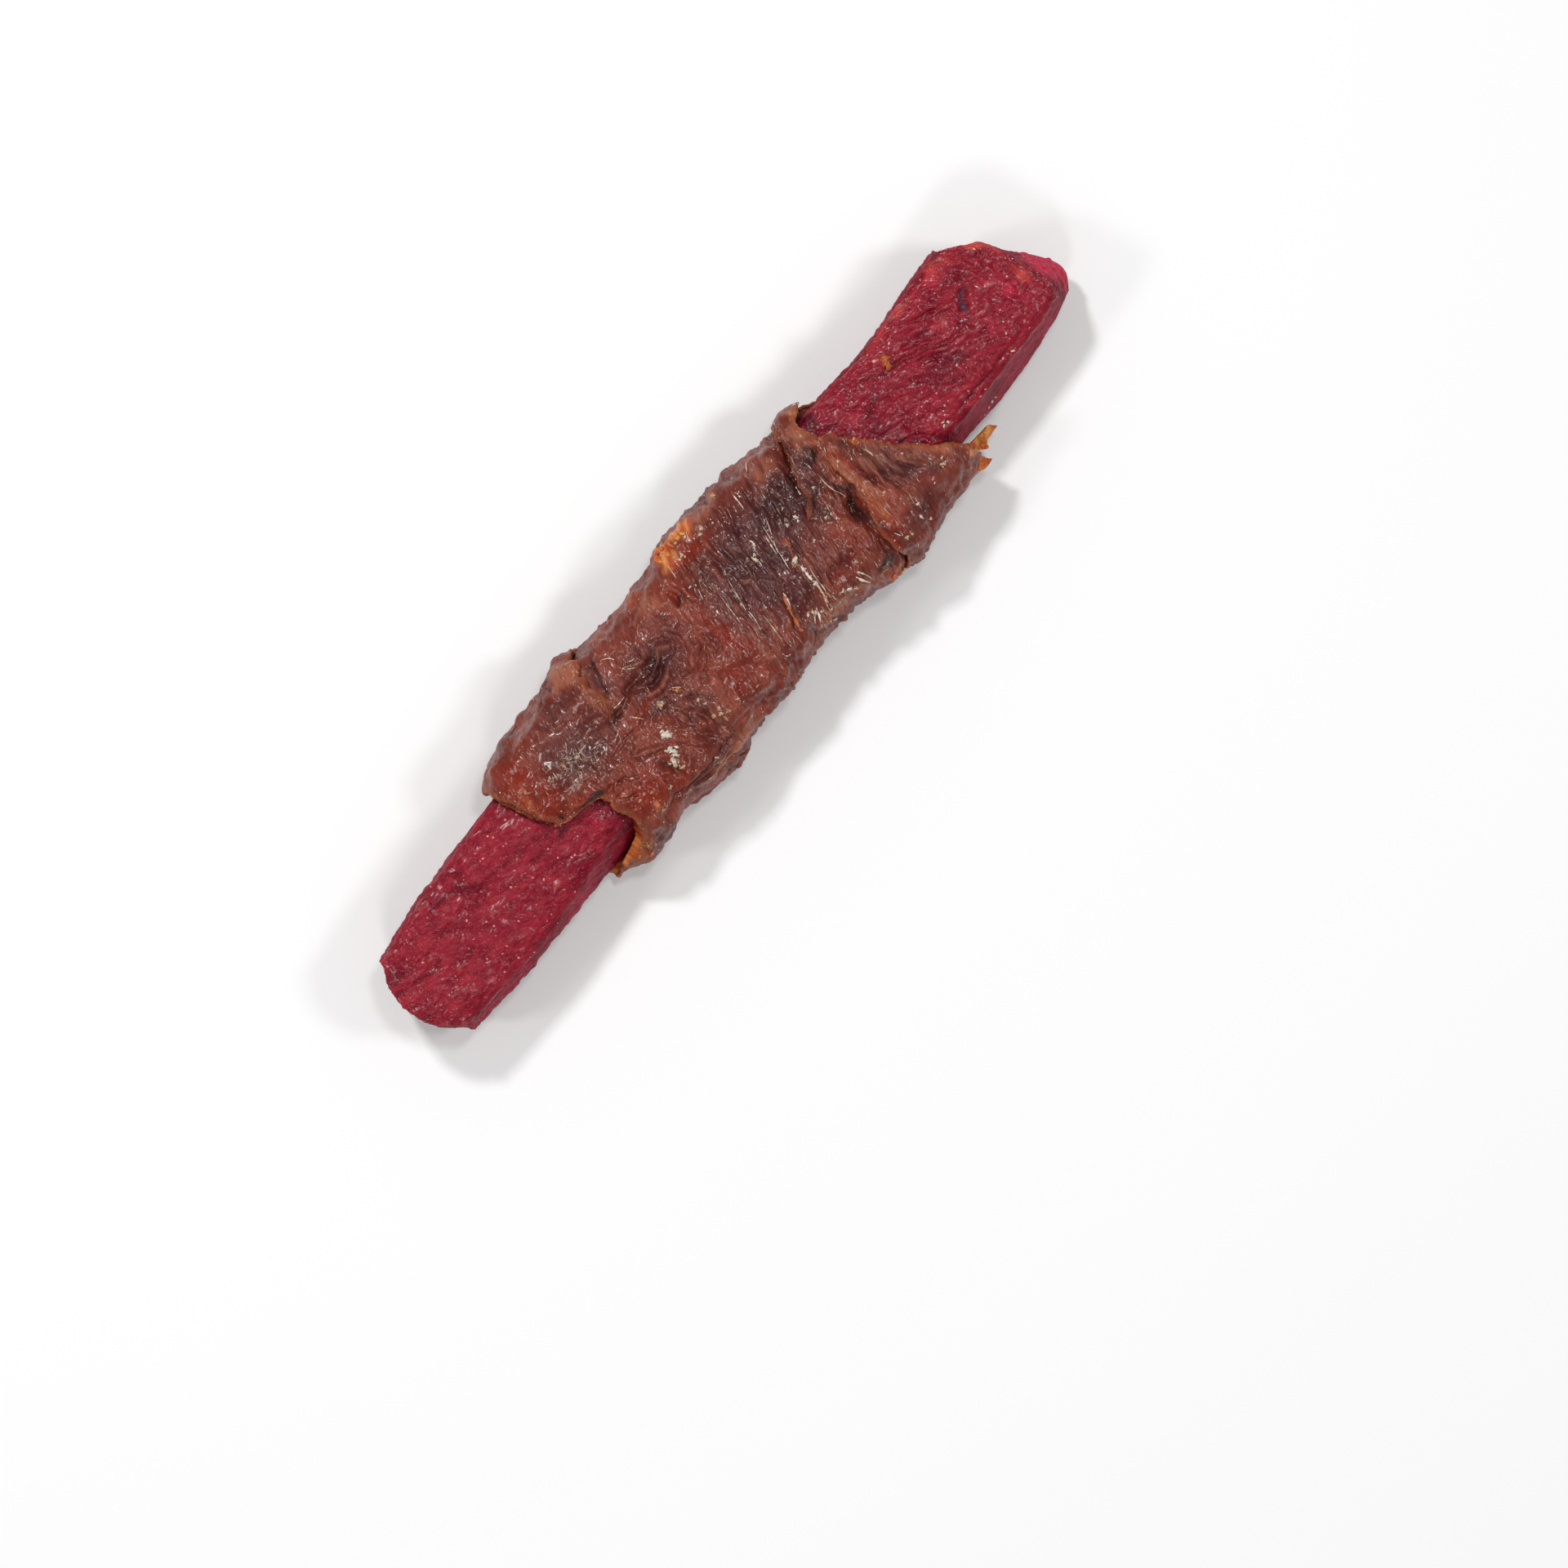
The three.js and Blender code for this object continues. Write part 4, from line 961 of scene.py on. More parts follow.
def makeFleckGroup():
    # small pale flecks: an uneven one in some of the cells of a pattern, while most cells stay empty
    tree, given, result = newGroup("paleFlecks", [
        ("Vector", "NodeSocketVector", None), ("Scale", "NodeSocketFloat", 5), ("Amount", "NodeSocketFloat", 0.3),
        ("Size", "NodeSocketFloat", 0.2)], ["Mask"])
    rough = noiseOf(tree, given["Vector"], times(tree, given["Scale"], 2.2), 2)
    cells = addNode(tree, "ShaderNodeTexVoronoi", {"Vector": given["Vector"], "Scale": given["Scale"]})
    pick = addNode(tree, "ShaderNodeSeparateColor", {"Color": cells.outputs["Color"]})
    reach = sums(tree, "MULTIPLY_ADD", sums(tree, "SUBTRACT", rough, 0.5), 0.9, cells.outputs["Distance"])
    size = times(tree, pick.outputs["Green"], given["Size"])
    near = times(tree, sums(tree, "SUBTRACT", size, reach), 9, True)
    chosen = sums(tree, "LESS_THAN", pick.outputs["Red"], given["Amount"])
    tree.links.new(times(tree, near, chosen), result["Mask"])
    return tree


def makeGrainGroup():
    # fine fibres: noise that is drawn out along the first axis of its vector
    tree, given, result = newGroup("fibreGrain", [
        ("Vector", "NodeSocketVector", None), ("Fineness", "NodeSocketFloat", 20), ("Stretch", "NodeSocketFloat", 0.15),
        ("Wander", "NodeSocketFloat", 0.1)], ["Grain", "Broad"])
    wander = addNode(tree, "ShaderNodeTexNoise", {"Vector": given["Vector"], "Scale": 3, "Detail": 2})
    centred = addNode(tree, "ShaderNodeVectorMath", {0: wander.outputs["Color"], 1: (0.5, 0.5, 0.5)},
                      operation="SUBTRACT")
    scaled = addNode(tree, "ShaderNodeVectorMath", {0: centred.outputs[0], "Scale": given["Wander"]}, operation="SCALE")
    moved = addNode(tree, "ShaderNodeVectorMath", {0: given["Vector"], 1: scaled.outputs[0]}, operation="ADD")
    parts = addNode(tree, "ShaderNodeSeparateXYZ", {0: moved.outputs[0]})
    drawn = times(tree, parts.outputs["X"], given["Stretch"])
    joined = addNode(tree, "ShaderNodeCombineXYZ", {"X": drawn, "Y": parts.outputs["Y"], "Z": parts.outputs["Z"]})
    tree.links.new(noiseOf(tree, joined.outputs[0], given["Fineness"], 5, 0.65), result["Grain"])
    less = times(tree, given["Fineness"], 0.3)
    tree.links.new(noiseOf(tree, joined.outputs[0], less, 3), result["Broad"])
    return tree


def makeBrokenGroup():
    # gives a soft mask a crumbly edge, and leaves a share of it uncovered
    tree, given, result = newGroup("brokenMask", [
        ("Mask", "NodeSocketFloat", 0), ("Vector", "NodeSocketVector", None), ("Scale", "NodeSocketFloat", 400),
        ("Cover", "NodeSocketFloat", 0.6), ("Sharpness", "NodeSocketFloat", 4)], ["Mask"])
    speckle = noiseOf(tree, given["Vector"], given["Scale"], 5, 0.68)
    bar = sums(tree, "MULTIPLY_ADD", given["Mask"], times(tree, given["Cover"], -0.4), 0.72)
    over = sums(tree, "SUBTRACT", speckle, bar)
    tree.links.new(times(tree, over, given["Sharpness"], True), result["Mask"])
    return tree


fleckGroup = makeFleckGroup()
grainGroup = makeGrainGroup()
brokenGroup = makeBrokenGroup()


def useGroup(tree, group, inputs):
    node = tree.nodes.new("ShaderNodeGroup")
    node.node_tree = group
    return fill(tree, node, inputs).outputs


def newMaterial(name):
    material = bpy.data.materials.new(name)
    material.use_nodes = True
    return material, material.node_tree


def setShader(tree, inputs):
    fill(tree, tree.nodes["Principled BSDF"], inputs)


def finishMaterial(tree, look, colour, rough, height, coat=0):
    bump = addNode(tree, "ShaderNodeBump", {"Height": height, "Distance": look["bump"], "Strength": 1})
    setShader(tree, {
        "Base Color": colour, "Roughness": rough, "Coat Weight": coat, "Normal": bump.outputs["Normal"],
        "Specular IOR Level": look["specular"], "Specular Tint": (*look["gloss"], 1),
        "Coat Roughness": look["coatRoughness"], "Subsurface Weight": look["subsurface"],
        "Subsurface Radius": look["subsurfaceReach"], "Subsurface Scale": look["subsurfaceScale"],
    })


meatFinish = {
    "colours": {
        "brown": (110, 42, 31), "warm": (142, 68, 53), "plum": (70, 32, 33), "greyPlum": (98, 55, 54),
        "deep": (58, 20, 16), "red": (124, 34, 18), "darkAndShade": (40, 20, 22), "frost": (214, 190, 174),
        # rim: lighter orange-brown along torn edges, partly the thin edges' own colour and partly painted light that
        # the raised edges catch
        "amber": (186, 84, 42), "honey": (220, 144, 84), "tan": (158, 94, 71), "rim": (150, 76, 42),
        "speckAndGlint": (226, 190, 160),
    },
    "shares": {"red": 0.85, "tan": 0.85, "darkAndShade": 0.78, "amber": 0.95, "rim": 0.5, "frost": 0.56, "speckAndGlint": 0.45},
    "heights": {"dashes": 0.8, "fibres": 0.8, "flecks": 0.15, "frost": 0.15},
    # scale, detail and roughness of the noise patterns
    "blotch": (300, 5, 0.62), "broad": (130, 4, 0.6), "dashes": (30, 2, 0.5), "fine": (1000, 1, 0.4),
    "fibres": {"Fineness": 42, "Stretch": 0.12, "Wander": 0.1},
    "streaks": {"Fineness": 20, "Stretch": 0.2, "Wander": 0.25},
    "frostPatches": {"Scale": 30, "Cover": 0.71, "Sharpness": 6},
    "flecks": {"Scale": 42, "Amount": 0.3, "Size": 0.35},
    "roughness": (0.16, 0.34), "sideRoughness": 0.42,
    "specular": 0.22, "gloss": (1, 0.82, 0.75), "coat": (0.26, 0.07), "coatRoughness": 0.14,
    "subsurface": 0.14, "subsurfaceReach": (1, 0.32, 0.18), "subsurfaceScale": 0.0009,
    "bump": 0.00024,
}


def makeMeatMaterial():
    look, ink = meatFinish, inksOf(meatFinish)
    material, tree = newMaterial("driedDuckMeat")
    place = objectPlace(tree)
    flow = addNode(tree, "ShaderNodeUVMap", uv_map="flow").outputs["UV"]
    masks = {}
    for layer, names in meatMasks.items():
        masks.update(zip(names, channels(tree, attributeOf(tree, layer)["Color"])))
    fibres, streaks = [useGroup(tree, grainGroup, {"Vector": flow, **look[name]}) for name in ("fibres", "streaks")]
    blotch, broad, fine = [noiseOf(tree, place, *look[name]) for name in ("blotch", "broad", "fine")]

    colour = tint(tree, spread(tree, blotch, 0.36, 0.68), ink["brown"], ink["warm"])
    plum = tint(tree, spread(tree, blotch, 0.4, 0.66), ink["plum"], ink["greyPlum"])
    colour = wash(tree, colour, broad, 0.48, 0.68, 0.5, plum)
    colour = tint(tree, masks["plum"], colour, plum)
    colour = wash(tree, colour, streaks["Grain"], 0.5, 0.3, 0.25, ink["deep"])
    ink["amber"] = tint(tree, spread(tree, streaks["Broad"], 0.42, 0.6), ink["amber"], ink["honey"])
    # the dark tint is partly the meat's own darker places and partly painted shade in creases, pockets and inside the
    # sleeve
    for name in ("red", "tan", "darkAndShade", "amber", "rim"):
        mask = spread(tree, wavering(tree, blotch, 0.5, masks[name]), 0.08, 0.85)
        colour = tint(tree, times(tree, mask, look["shares"][name]), colour, ink[name])
    # ridge tops get a lighter tan; creases get the deep colour as painted shade
    colour = wash(tree, colour, masks["ridge"], 0.48, 0.75, 0.25, ink["tan"])
    colour = wash(tree, colour, masks["ridge"], 0.3, 0, 0.5, ink["deep"])
    streak = spread(tree, fibres["Grain"], 0.3, 0.7, 0.76, 1.24)
    colour = tint(tree, 1, colour, greyOf(tree, streak), "MULTIPLY")

    flatFlow = addNode(tree, "ShaderNodeMapping", {"Vector": flow, "Scale": (0.35, 1, 1)}).outputs[0]
    frost = useGroup(tree, brokenGroup, {"Mask": masks["frost"], "Vector": flatFlow, **look["frostPatches"]})[0]
    colour = tint(tree, times(tree, frost, look["shares"]["frost"]), colour, ink["frost"])
    # pale flecks, partly dried specks and partly painted glints
    flecks = useGroup(tree, fleckGroup, {"Vector": flatFlow, **look["flecks"]})[0]
    flecks = times(tree, flecks, spread(tree, streaks["Broad"], 0.46, 0.6))
    colour = tint(tree, times(tree, flecks, look["shares"]["speckAndGlint"]), colour, ink["speckAndGlint"])

    dryness = sums(tree, "MULTIPLY_ADD", frost, 0.5, streaks["Broad"])
    rough = spread(tree, dryness, 0.35, 0.8, *look["roughness"])
    rough = addNode(tree, "ShaderNodeMix", {0: masks["side"], 2: rough, 3: look["sideRoughness"]}).outputs[0]
    moist = spread(tree, sums(tree, "MAXIMUM", masks["side"], frost), 0, 1, *look["coat"])
    height = times(tree, fine, 0.5)
    patterns = {"dashes": noiseOf(tree, flatFlow, *look["dashes"]), "fibres": fibres["Broad"], "flecks": flecks,
                "frost": frost}
    for name, amount in look["heights"].items():
        height = sums(tree, "MULTIPLY_ADD", patterns[name], amount, height)
    finishMaterial(tree, look, colour, rough, height, moist)
    return material


potatoFinish = {
    "colours": {
        "crimson": (124, 13, 34), "rose": (152, 34, 48), "deep": (80, 8, 22), "purple": (64, 14, 30),
        "bright": (202, 28, 68), "skin": (198, 72, 60), "speckAndGlint": (240, 176, 172), "hole": (94, 70, 86),
        "side": (112, 8, 34), "magenta": (162, 16, 54),
    },
    "shares": {"bright": 0.85, "purple": 0.65, "skin": 0.8, "side": 0.75},
    "blotch": (480, 5, 0.65), "fine": (1900, 2, 0.5),
    "grain": {"Fineness": 3200, "Stretch": 0.4, "Wander": 0.0004},
    "flecks": {"Scale": 3000, "Amount": 0.14, "Size": 0.36}, "fleckShare": (0.6, 0.12),
    "grainTurn": 0.32,
    "roughness": (0.16, 0.34), "sideRoughness": 0.6,
    "specular": 0.16, "gloss": (1, 0.74, 0.76), "coat": (0.15, 0.03), "coatRoughness": 0.17,
    "subsurface": 0.14, "subsurfaceReach": (1, 0.25, 0.3), "subsurfaceScale": 0.0009,
    "bump": 0.00026,
}


def makePotatoMaterial():
    look, ink = potatoFinish, inksOf(potatoFinish)
    material, tree = newMaterial("driedPurpleSweetPotato")
    place = objectPlace(tree)
    purple, bright, skin = channels(tree, attributeOf(tree, "tone")["Color"])
    ridge, side, hole = [attributeOf(tree, name)["Fac"] for name in ("ridge", "cutSide", "hole")]
    turned = addNode(tree, "ShaderNodeMapping", {"Vector": place, "Rotation": (0, 0, look["grainTurn"])}).outputs[0]
    grain = useGroup(tree, grainGroup, {"Vector": turned, **look["grain"]})
    blotch = noiseOf(tree, place, *look["blotch"])

    colour = tint(tree, spread(tree, blotch, 0.32, 0.72), ink["crimson"], ink["rose"])
    colour = wash(tree, colour, grain["Broad"], 0.5, 0.34, 0.5, ink["deep"])
    smooth = tint(tree, spread(tree, blotch, 0.36, 0.68), ink["side"], ink["magenta"])
    colour = tint(tree, times(tree, side, look["shares"]["side"]), colour, smooth)
    for name, mask in (("bright", bright), ("purple", purple), ("skin", skin)):
        mask = spread(tree, wavering(tree, blotch, 0.9, mask), 0.12, 0.8)
        colour = tint(tree, times(tree, mask, look["shares"][name]), colour, ink[name])
    # painted highlight: ridge tops are lightened with the pale speck colour; painted shade: creases get the deep colour
    colour = wash(tree, colour, ridge, 0.5, 0.78, 0.16, ink["speckAndGlint"])
    colour = wash(tree, colour, ridge, 0.34, 0.02, 0.65, ink["deep"])
    streak = spread(tree, grain["Grain"], 0.3, 0.7, 0.82, 1.18)
    colour = tint(tree, 1, colour, greyOf(tree, streak), "MULTIPLY")
    # pale flecks, partly real specks and partly painted glints, more on top than on the sides
    flecks = useGroup(tree, fleckGroup, {"Vector": turned, **look["flecks"]})[0]
    flecks = times(tree, flecks, spread(tree, side, 0, 1, *look["fleckShare"]))
    colour = tint(tree, flecks, colour, ink["speckAndGlint"])
    hole = wavering(tree, grain["Grain"], 1.6, hole)
    colour = wash(tree, colour, hole, 0.3, 0.9, 0.8, ink["hole"])

    rough = spread(tree, grain["Broad"], 0.35, 0.65, *look["roughness"])
    rough = addNode(tree, "ShaderNodeMix", {0: side, 2: rough, 3: look["sideRoughness"]}).outputs[0]
    height = sums(tree, "MULTIPLY_ADD", grain["Broad"], 0.8, noiseOf(tree, turned, *look["fine"]))
    finishMaterial(tree, look, colour, rough, height, spread(tree, side, 0, 1, *look["coat"]))
    return material


dryFinish = {
    "colours": {
        "white": (232, 212, 196), "cream": (212, 174, 142), "tan": (170, 110, 74), "amber": (174, 84, 40),
        "shade": (150, 98, 72),
    },
    "roughness": (0.35, 0.6),
    "specular": 0.4, "gloss": (1, 0.95, 0.9), "coatRoughness": 0.2,
    "subsurface": 0.3, "subsurfaceReach": (1, 0.6, 0.4), "subsurfaceScale": 0.0004,
    "bump": 0.00006,
}


def makeDryMaterial():
    # dried fibres and crumbs, from white to amber by their own warmth
    look, ink = dryFinish, inksOf(dryFinish)
    material, tree = newMaterial("driedFibre")
    place = objectPlace(tree)
    warmth = attributeOf(tree, "warmth")["Fac"]
    mottle = noiseOf(tree, place, 2600, 3)
    broad = noiseOf(tree, place, 700, 2)
    level = wavering(tree, broad, 0.5, warmth)
    colour = tint(tree, spread(tree, level, 0.05, 0.35), ink["white"], ink["cream"])
    colour = tint(tree, spread(tree, level, 0.35, 0.65), colour, ink["tan"])
    colour = tint(tree, spread(tree, level, 0.65, 0.9), colour, ink["amber"])
    colour = wash(tree, colour, mottle, 0.46, 0.32, 0.4, ink["shade"])
    finishMaterial(tree, look, colour, spread(tree, mottle, 0.35, 0.65, *look["roughness"]), mottle)
    return material


amberFinish = {
    "colours": {"amber": (198, 98, 32), "honey": (224, 154, 76), "brown": (124, 52, 24)},
    "roughness": (0.14, 0.38),
    "specular": 0.5, "gloss": (1, 0.92, 0.8), "coatRoughness": 0.2,
    "subsurface": 0.5, "subsurfaceReach": (1, 0.45, 0.12), "subsurfaceScale": 0.001,
    "bump": 0.0001,
}


def makeAmberMaterial():
    look, ink = amberFinish, inksOf(amberFinish)
    material, tree = newMaterial("driedAmberFat")
    place = objectPlace(tree)
    ripple = noiseOf(tree, place, 520, 3)
    fine = noiseOf(tree, place, 3000, 3)
    colour = tint(tree, spread(tree, ripple, 0.5, 0.62), ink["amber"], ink["honey"])
    colour = wash(tree, colour, ripple, 0.5, 0.36, 0.6, ink["brown"])
    finishMaterial(tree, look, colour, spread(tree, fine, 0.35, 0.65, *look["roughness"]), fine)
    return material


meatMaterial = makeMeatMaterial()
potatoMaterial = makePotatoMaterial()
dryMaterial = makeDryMaterial()
amberMaterial = makeAmberMaterial()
print("materials made")

potatoPiece = makePotato(potatoMaterial)
meatPieces = [makeSleeve(meatMaterial)]
meatPieces += [makeFlap(flap, meatMaterial) for flap in (heelFlap, neckFold, collarTail)]
print("meat and potato made")


def searchTree(pieces):
    # finished pieces as one surface to lay things on, in mm
    bm = bmesh.new()
    for piece in pieces:
        bm.from_mesh(piece.data)
    bmesh.ops.scale(bm, vec=Vector((1 / mm, 1 / mm, 1 / mm)), verts=bm.verts)
    tree = BVHTree.FromBMesh(bm)
    bm.free()
    return tree


meatTree = searchTree(meatPieces)
potatoTree = searchTree([potatoPiece])


clearOf = 30  # mm, a place well outside everything


def fromOutside(tree, outside, ahead, near):
    # the point of a surface, and its normal, that is met from outside, or the nearest one where nothing is met
    hit = tree.ray_cast(outside, ahead)
    if hit[0] is None:
        hit = tree.find_nearest(near)
    return hit[:2]


def fromAbove(tree, x, y):
    return fromOutside(tree, Vector((x, y, clearOf)), Vector((0, 0, -1)), Vector((x, y, stick["coreHeight"])))


def fromRound(tree, x, angle):
    outside = putRound(x, angle, clearOf)
    return fromOutside(tree, outside, putRound(x, angle, 0) - outside, putRound(x, angle, 8))


def addMesh(bm, warmth, mesh, warm):
    # joins a small mesh to a piece and gives its points their warmth
    start = len(bm.verts)
    bm.from_mesh(mesh)
    bpy.data.meshes.remove(mesh)
    bm.verts.ensure_lookup_table()
    for i in range(start, len(bm.verts)):
        bm.verts[i][warmth] = warm


def layThread(bm, warmth, points, width, warm, rings, curl=0):
    # a flattened thread along a row of (place, normal), pointed at both ends, its last part curling up
    thread = bmesh.new()
    bmesh.ops.create_cone(thread, cap_ends=True, segments=6, radius1=1, radius2=1, depth=2)
    long = [e for e in thread.edges if abs(e.verts[0].co.z - e.verts[1].co.z) > 1]
    bmesh.ops.subdivide_edges(thread, edges=long, cuts=rings)
    phase = points[0][0].x * 3.7
    last = len(points) - 1
    for vert in thread.verts:
        t = clamp((vert.co.z + 1) / 2)
        i = min(int(t * last), last - 1)
        share = t * last - i
        place = points[i][0].lerp(points[i + 1][0], share)
        normal = points[i][1].lerp(points[i + 1][1], share).normalized()
        ahead = (points[i + 1][0] - points[i][0]).normalized()
        side = normal.cross(ahead).normalized()
        taper = math.sin(math.pi * mix(0.06, 0.94, t)) ** 0.7
        taper *= clamp(0.75 + 1.5 * noise.noise(Vector((t * len(points) * 1.1, phase, 0))), 0.12, 1.5)
        wide, high = width * 0.5 * taper, width * 0.34 * taper
        lift = high * 0.5 + curl * t ** 3
        vert.co = place + side * (vert.co.x * wide) + normal * (vert.co.y * high + lift)
    mesh = bpy.data.meshes.new("thread")
    thread.to_mesh(mesh)
    thread.free()
    addMesh(bm, warmth, mesh, warm)


paleFibres = {
    "seed": 8,
    # width, warmth (0 white, 0.5 tan, 1 amber), how far its end stands up, and the points that it runs through
    "named": [
        (0.12, 0.1, 0, [(2.3, -0.6), (2.1, -1.6), (1.7, -2.6)]),
        (0.2, 0.4, 0.15, [(2.8, -2), (2.5, -3.3), (2.1, -4.7)]),
        (0.66, 0.8, 0.1, [(5.2, -2.2), (4.9, -2.9), (4.5, -3.5), (4.2, -4.4), (3.8, -5.3)]),
        (0.2, 0.05, 0, [(5.3, -2.1), (5.1, -2.8), (4.8, -3.3)]),
        (0.36, 0, 0.1, [(8, -1.7), (7.8, -2.5), (7.7, -3.3)]),
        (0.3, 0.3, 0.1, [(7.7, -3.4), (7.5, -4.4), (7.1, -5.5)]),
        (0.18, 0.15, 0.2, [(8.3, -2.6), (7.9, -3.8), (7.7, -4.9)]),
        (0.16, 0.2, 0, [(8.1, 2.1), (7.8, 1.3), (7.5, 0.4)]), (0.14, 0.3, 0, [(9.2, 2.8), (8.4, 1.6), (7.6, 0.3)]),
        (0.1, 0.1, 0, [(8.6, 2.8), (8.1, 1.4), (7.8, 0.5), (7.3, -0.9), (6.9, -2.1)]),
        (0.1, 0.2, 0, [(3.5, 3), (3.1, 1.8), (2.7, 0.7), (2.2, -0.6), (1.9, -1.6)]),
        (0.1, 0.2, 0, [(1.8, 2), (1.6, 1.1), (1.4, 0.3), (1.2, -0.5), (1, -1.2)]),
        (0.16, 0.1, 0.1, [(9.1, 6.4), (8.9, 5.6), (8.7, 4.8)]), (0.14, 0.2, 0, [(9.3, 3), (8.9, 2.4), (8.5, 1.7)]),
        (0.2, 0.9, 0, [(9, 0.7), (8.5, -0.3), (8, -1.1)]),
        (0.2, 0.5, 0.1, [(7.3, -4.8), (6.9, -5.5), (6.6, -6.2), (6.2, -7.3)]),
        (0.2, 0.2, 0, [(5.6, -4.9), (5.4, -5.5), (5.1, -6), (4.5, -6.5), (4, -6.7), (2.9, -6.8)]),
        (0.24, 0.3, 0.1, [(4.8, -5.5), (4, -6.3), (3.2, -7.2)]),
        (0.26, 0.1, 0, [(5.8, -4.8), (5.3, -5.5), (4.6, -6.2)]), (0.2, 0, 0.1, [(6.1, -5), (5.7, -5.7), (5.2, -6.3)]),
        (0.12, 0, 0, [(1.3, -5.2), (1.35, -5.6), (1.5, -5.75), (1.8, -5.8)]),
        (0.3, 0.05, 0.2, [(10.2, -6), (10.4, -6.8), (10.6, -7.5)]),
        (0.26, 0.1, 0.1, [(10.6, -5.8), (10.9, -6.6), (11, -7.2)]),
        (0.26, 0, 0.1, [(12.9, 2.7), (12.8, 2.3), (12.7, 1.9)]),
        (0.1, 0.1, 0, [(14.9, 3.4), (14.95, 3), (14.9, 2.6)]),
        (0.18, 0.35, 0.1, [(14.9, 2), (14.8, 1.5), (14.7, 0.9), (14.7, 0.2), (14.8, -0.5), (14.9, -1.1)]),
        (0.14, 0.1, 0.1, [(11.3, 6.7), (11.8, 7.1), (12.2, 7.3)]),
        (0.26, 0.2, 0.1, [(-2.7, 8.2), (-3, 7.9), (-3.2, 7.6), (-3.7, 7)]),
        (0.18, 0, 0.2, [(-3.1, 8.1), (-3.4, 7.5), (-3.3, 6.8)]),
        (0.22, 0.7, 0.1, [(-6.6, -5), (-6.7, -5.5), (-6.7, -6)]),
        (0.14, 0.2, 0, [(15.1, -6.2), (15.2, -6.5), (15.3, -6.8)]),
        (0.14, 0.1, 0, [(19, 0.2), (19.05, -0.3), (19, -0.8)]),
        (0.1, 0, 0, [(-13.4, 1.1), (-12.9, 1.2), (-12.4, 1.4)]),
        (0.16, 0.3, 0.2, [(-10.8, 1.3), (-10.6, 0.9), (-10.3, 0.5)]),
        (0.14, 0.1, 0.2, [(-11.2, 2.9), (-10.6, 2.8), (-10, 2.9)]),
        (0.14, 0.1, 0.2, [(-8.7, 6.3), (-8.2, 5.9), (-7.9, 5.3)]),
        (0.12, 0.2, 0.1, [(-8.2, 4.5), (-7.8, 4), (-7.4, 3.7)]),
        (0.12, 0.1, 0.2, [(-7.6, 4.6), (-7.2, 4.3), (-6.8, 4.2)]),
        (0.12, 0.4, 0.1, [(-8.4, 4.3), (-8, 4.4), (-7.6, 4.1)]),
        (0.22, 0.9, 0.1, [(-6.9, 0.1), (-6.7, -0.3), (-6.4, -0.6)]),
        (0.12, 0, 0.1, [(-6.8, 0.2), (-6.5, -0.1), (-6.3, -0.4)]),
        (0.2, 0.6, 0, [(-21.4, 0), (-21.4, -0.5), (-21.3, -1), (-21.3, -1.5)]),
        (0.2, 0.1, 0.1, [(5.9, 0.6), (6.1, 1.3), (5.9, 1.9)]), (0.14, 0, 0.1, [(6.6, 2), (7, 2.5), (6.9, 2.9)]),
        (0.14, 0.2, 0.1, [(17.8, 7.4), (18.2, 7.7), (18.3, 8.1)]),
        (0.2, 0.5, 0.2, [(17.2, 7.4), (17.6, 7.8), (17.9, 8)]),
        (0.12, 0.2, 0.2, [(18.9, 6.9), (19.2, 7.2), (19.3, 7.5)]),
    ],
    "shortRight": 230,  # short ones along the fibres, right of the middle
    "shortLeft": 60,
    "shortRound": 120,  # on the sides and underneath
    "frosty": 110,  # tiny ones lying every way in the frosty patch at the heel
    "frostyPlace": (-16.8, 2.6),
    "frostySpread": (1.4, 0.8),
    "steepest": 1.3,  # a thread ends where it would hang down a side more steeply than this
    "shortestStep": 0.03,
    "unevenSteps": 2.5,  # most times that one step of a thread may be as long as another
    "lowest": 0.6,
}


def shortThread(draw, right, round):
    # the row of points of one short thread lying along the fibres
    x = draw.uniform(-1.5, 20) if right else draw.uniform(-20, 0)
    s = sideways(draw) if round else draw.uniform(-meatScatter["sideStart"], meatScatter["sideStart"])
    turn = math.radians(draw.gauss(meat["fibreTurn"], 8) if right else draw.uniform(0, 180))
    long = draw.choice((0.25, 0.4, 0.6, 1.1)) * draw.uniform(0.7, 1.3)
    bend = draw.uniform(-0.12, 0.12) if right else draw.uniform(-0.4, 0.4)
    row = []
    for step in range(4):
        row.append(fromRound(meatTree, x, s / roundTotal * 360))
        x += math.cos(turn) * long / 3
        s += math.sin(turn) * long / 3
        turn += bend
    return row


def cutThread(row):
    for i in range(1, len(row)):
        step = row[i][0] - row[i - 1][0]
        if abs(step.z) > paleFibres["steepest"] * math.hypot(step.x, step.y):
            return row[:i]
    return row


def evenThread(row):
    # leaves out a thread that would jump from one layer of meat to another
    steps = [(row[i + 1][0] - row[i][0]).length for i in range(len(row) - 1)]
    return min(steps) > paleFibres["shortestStep"] and max(steps) < min(steps) * paleFibres["unevenSteps"]


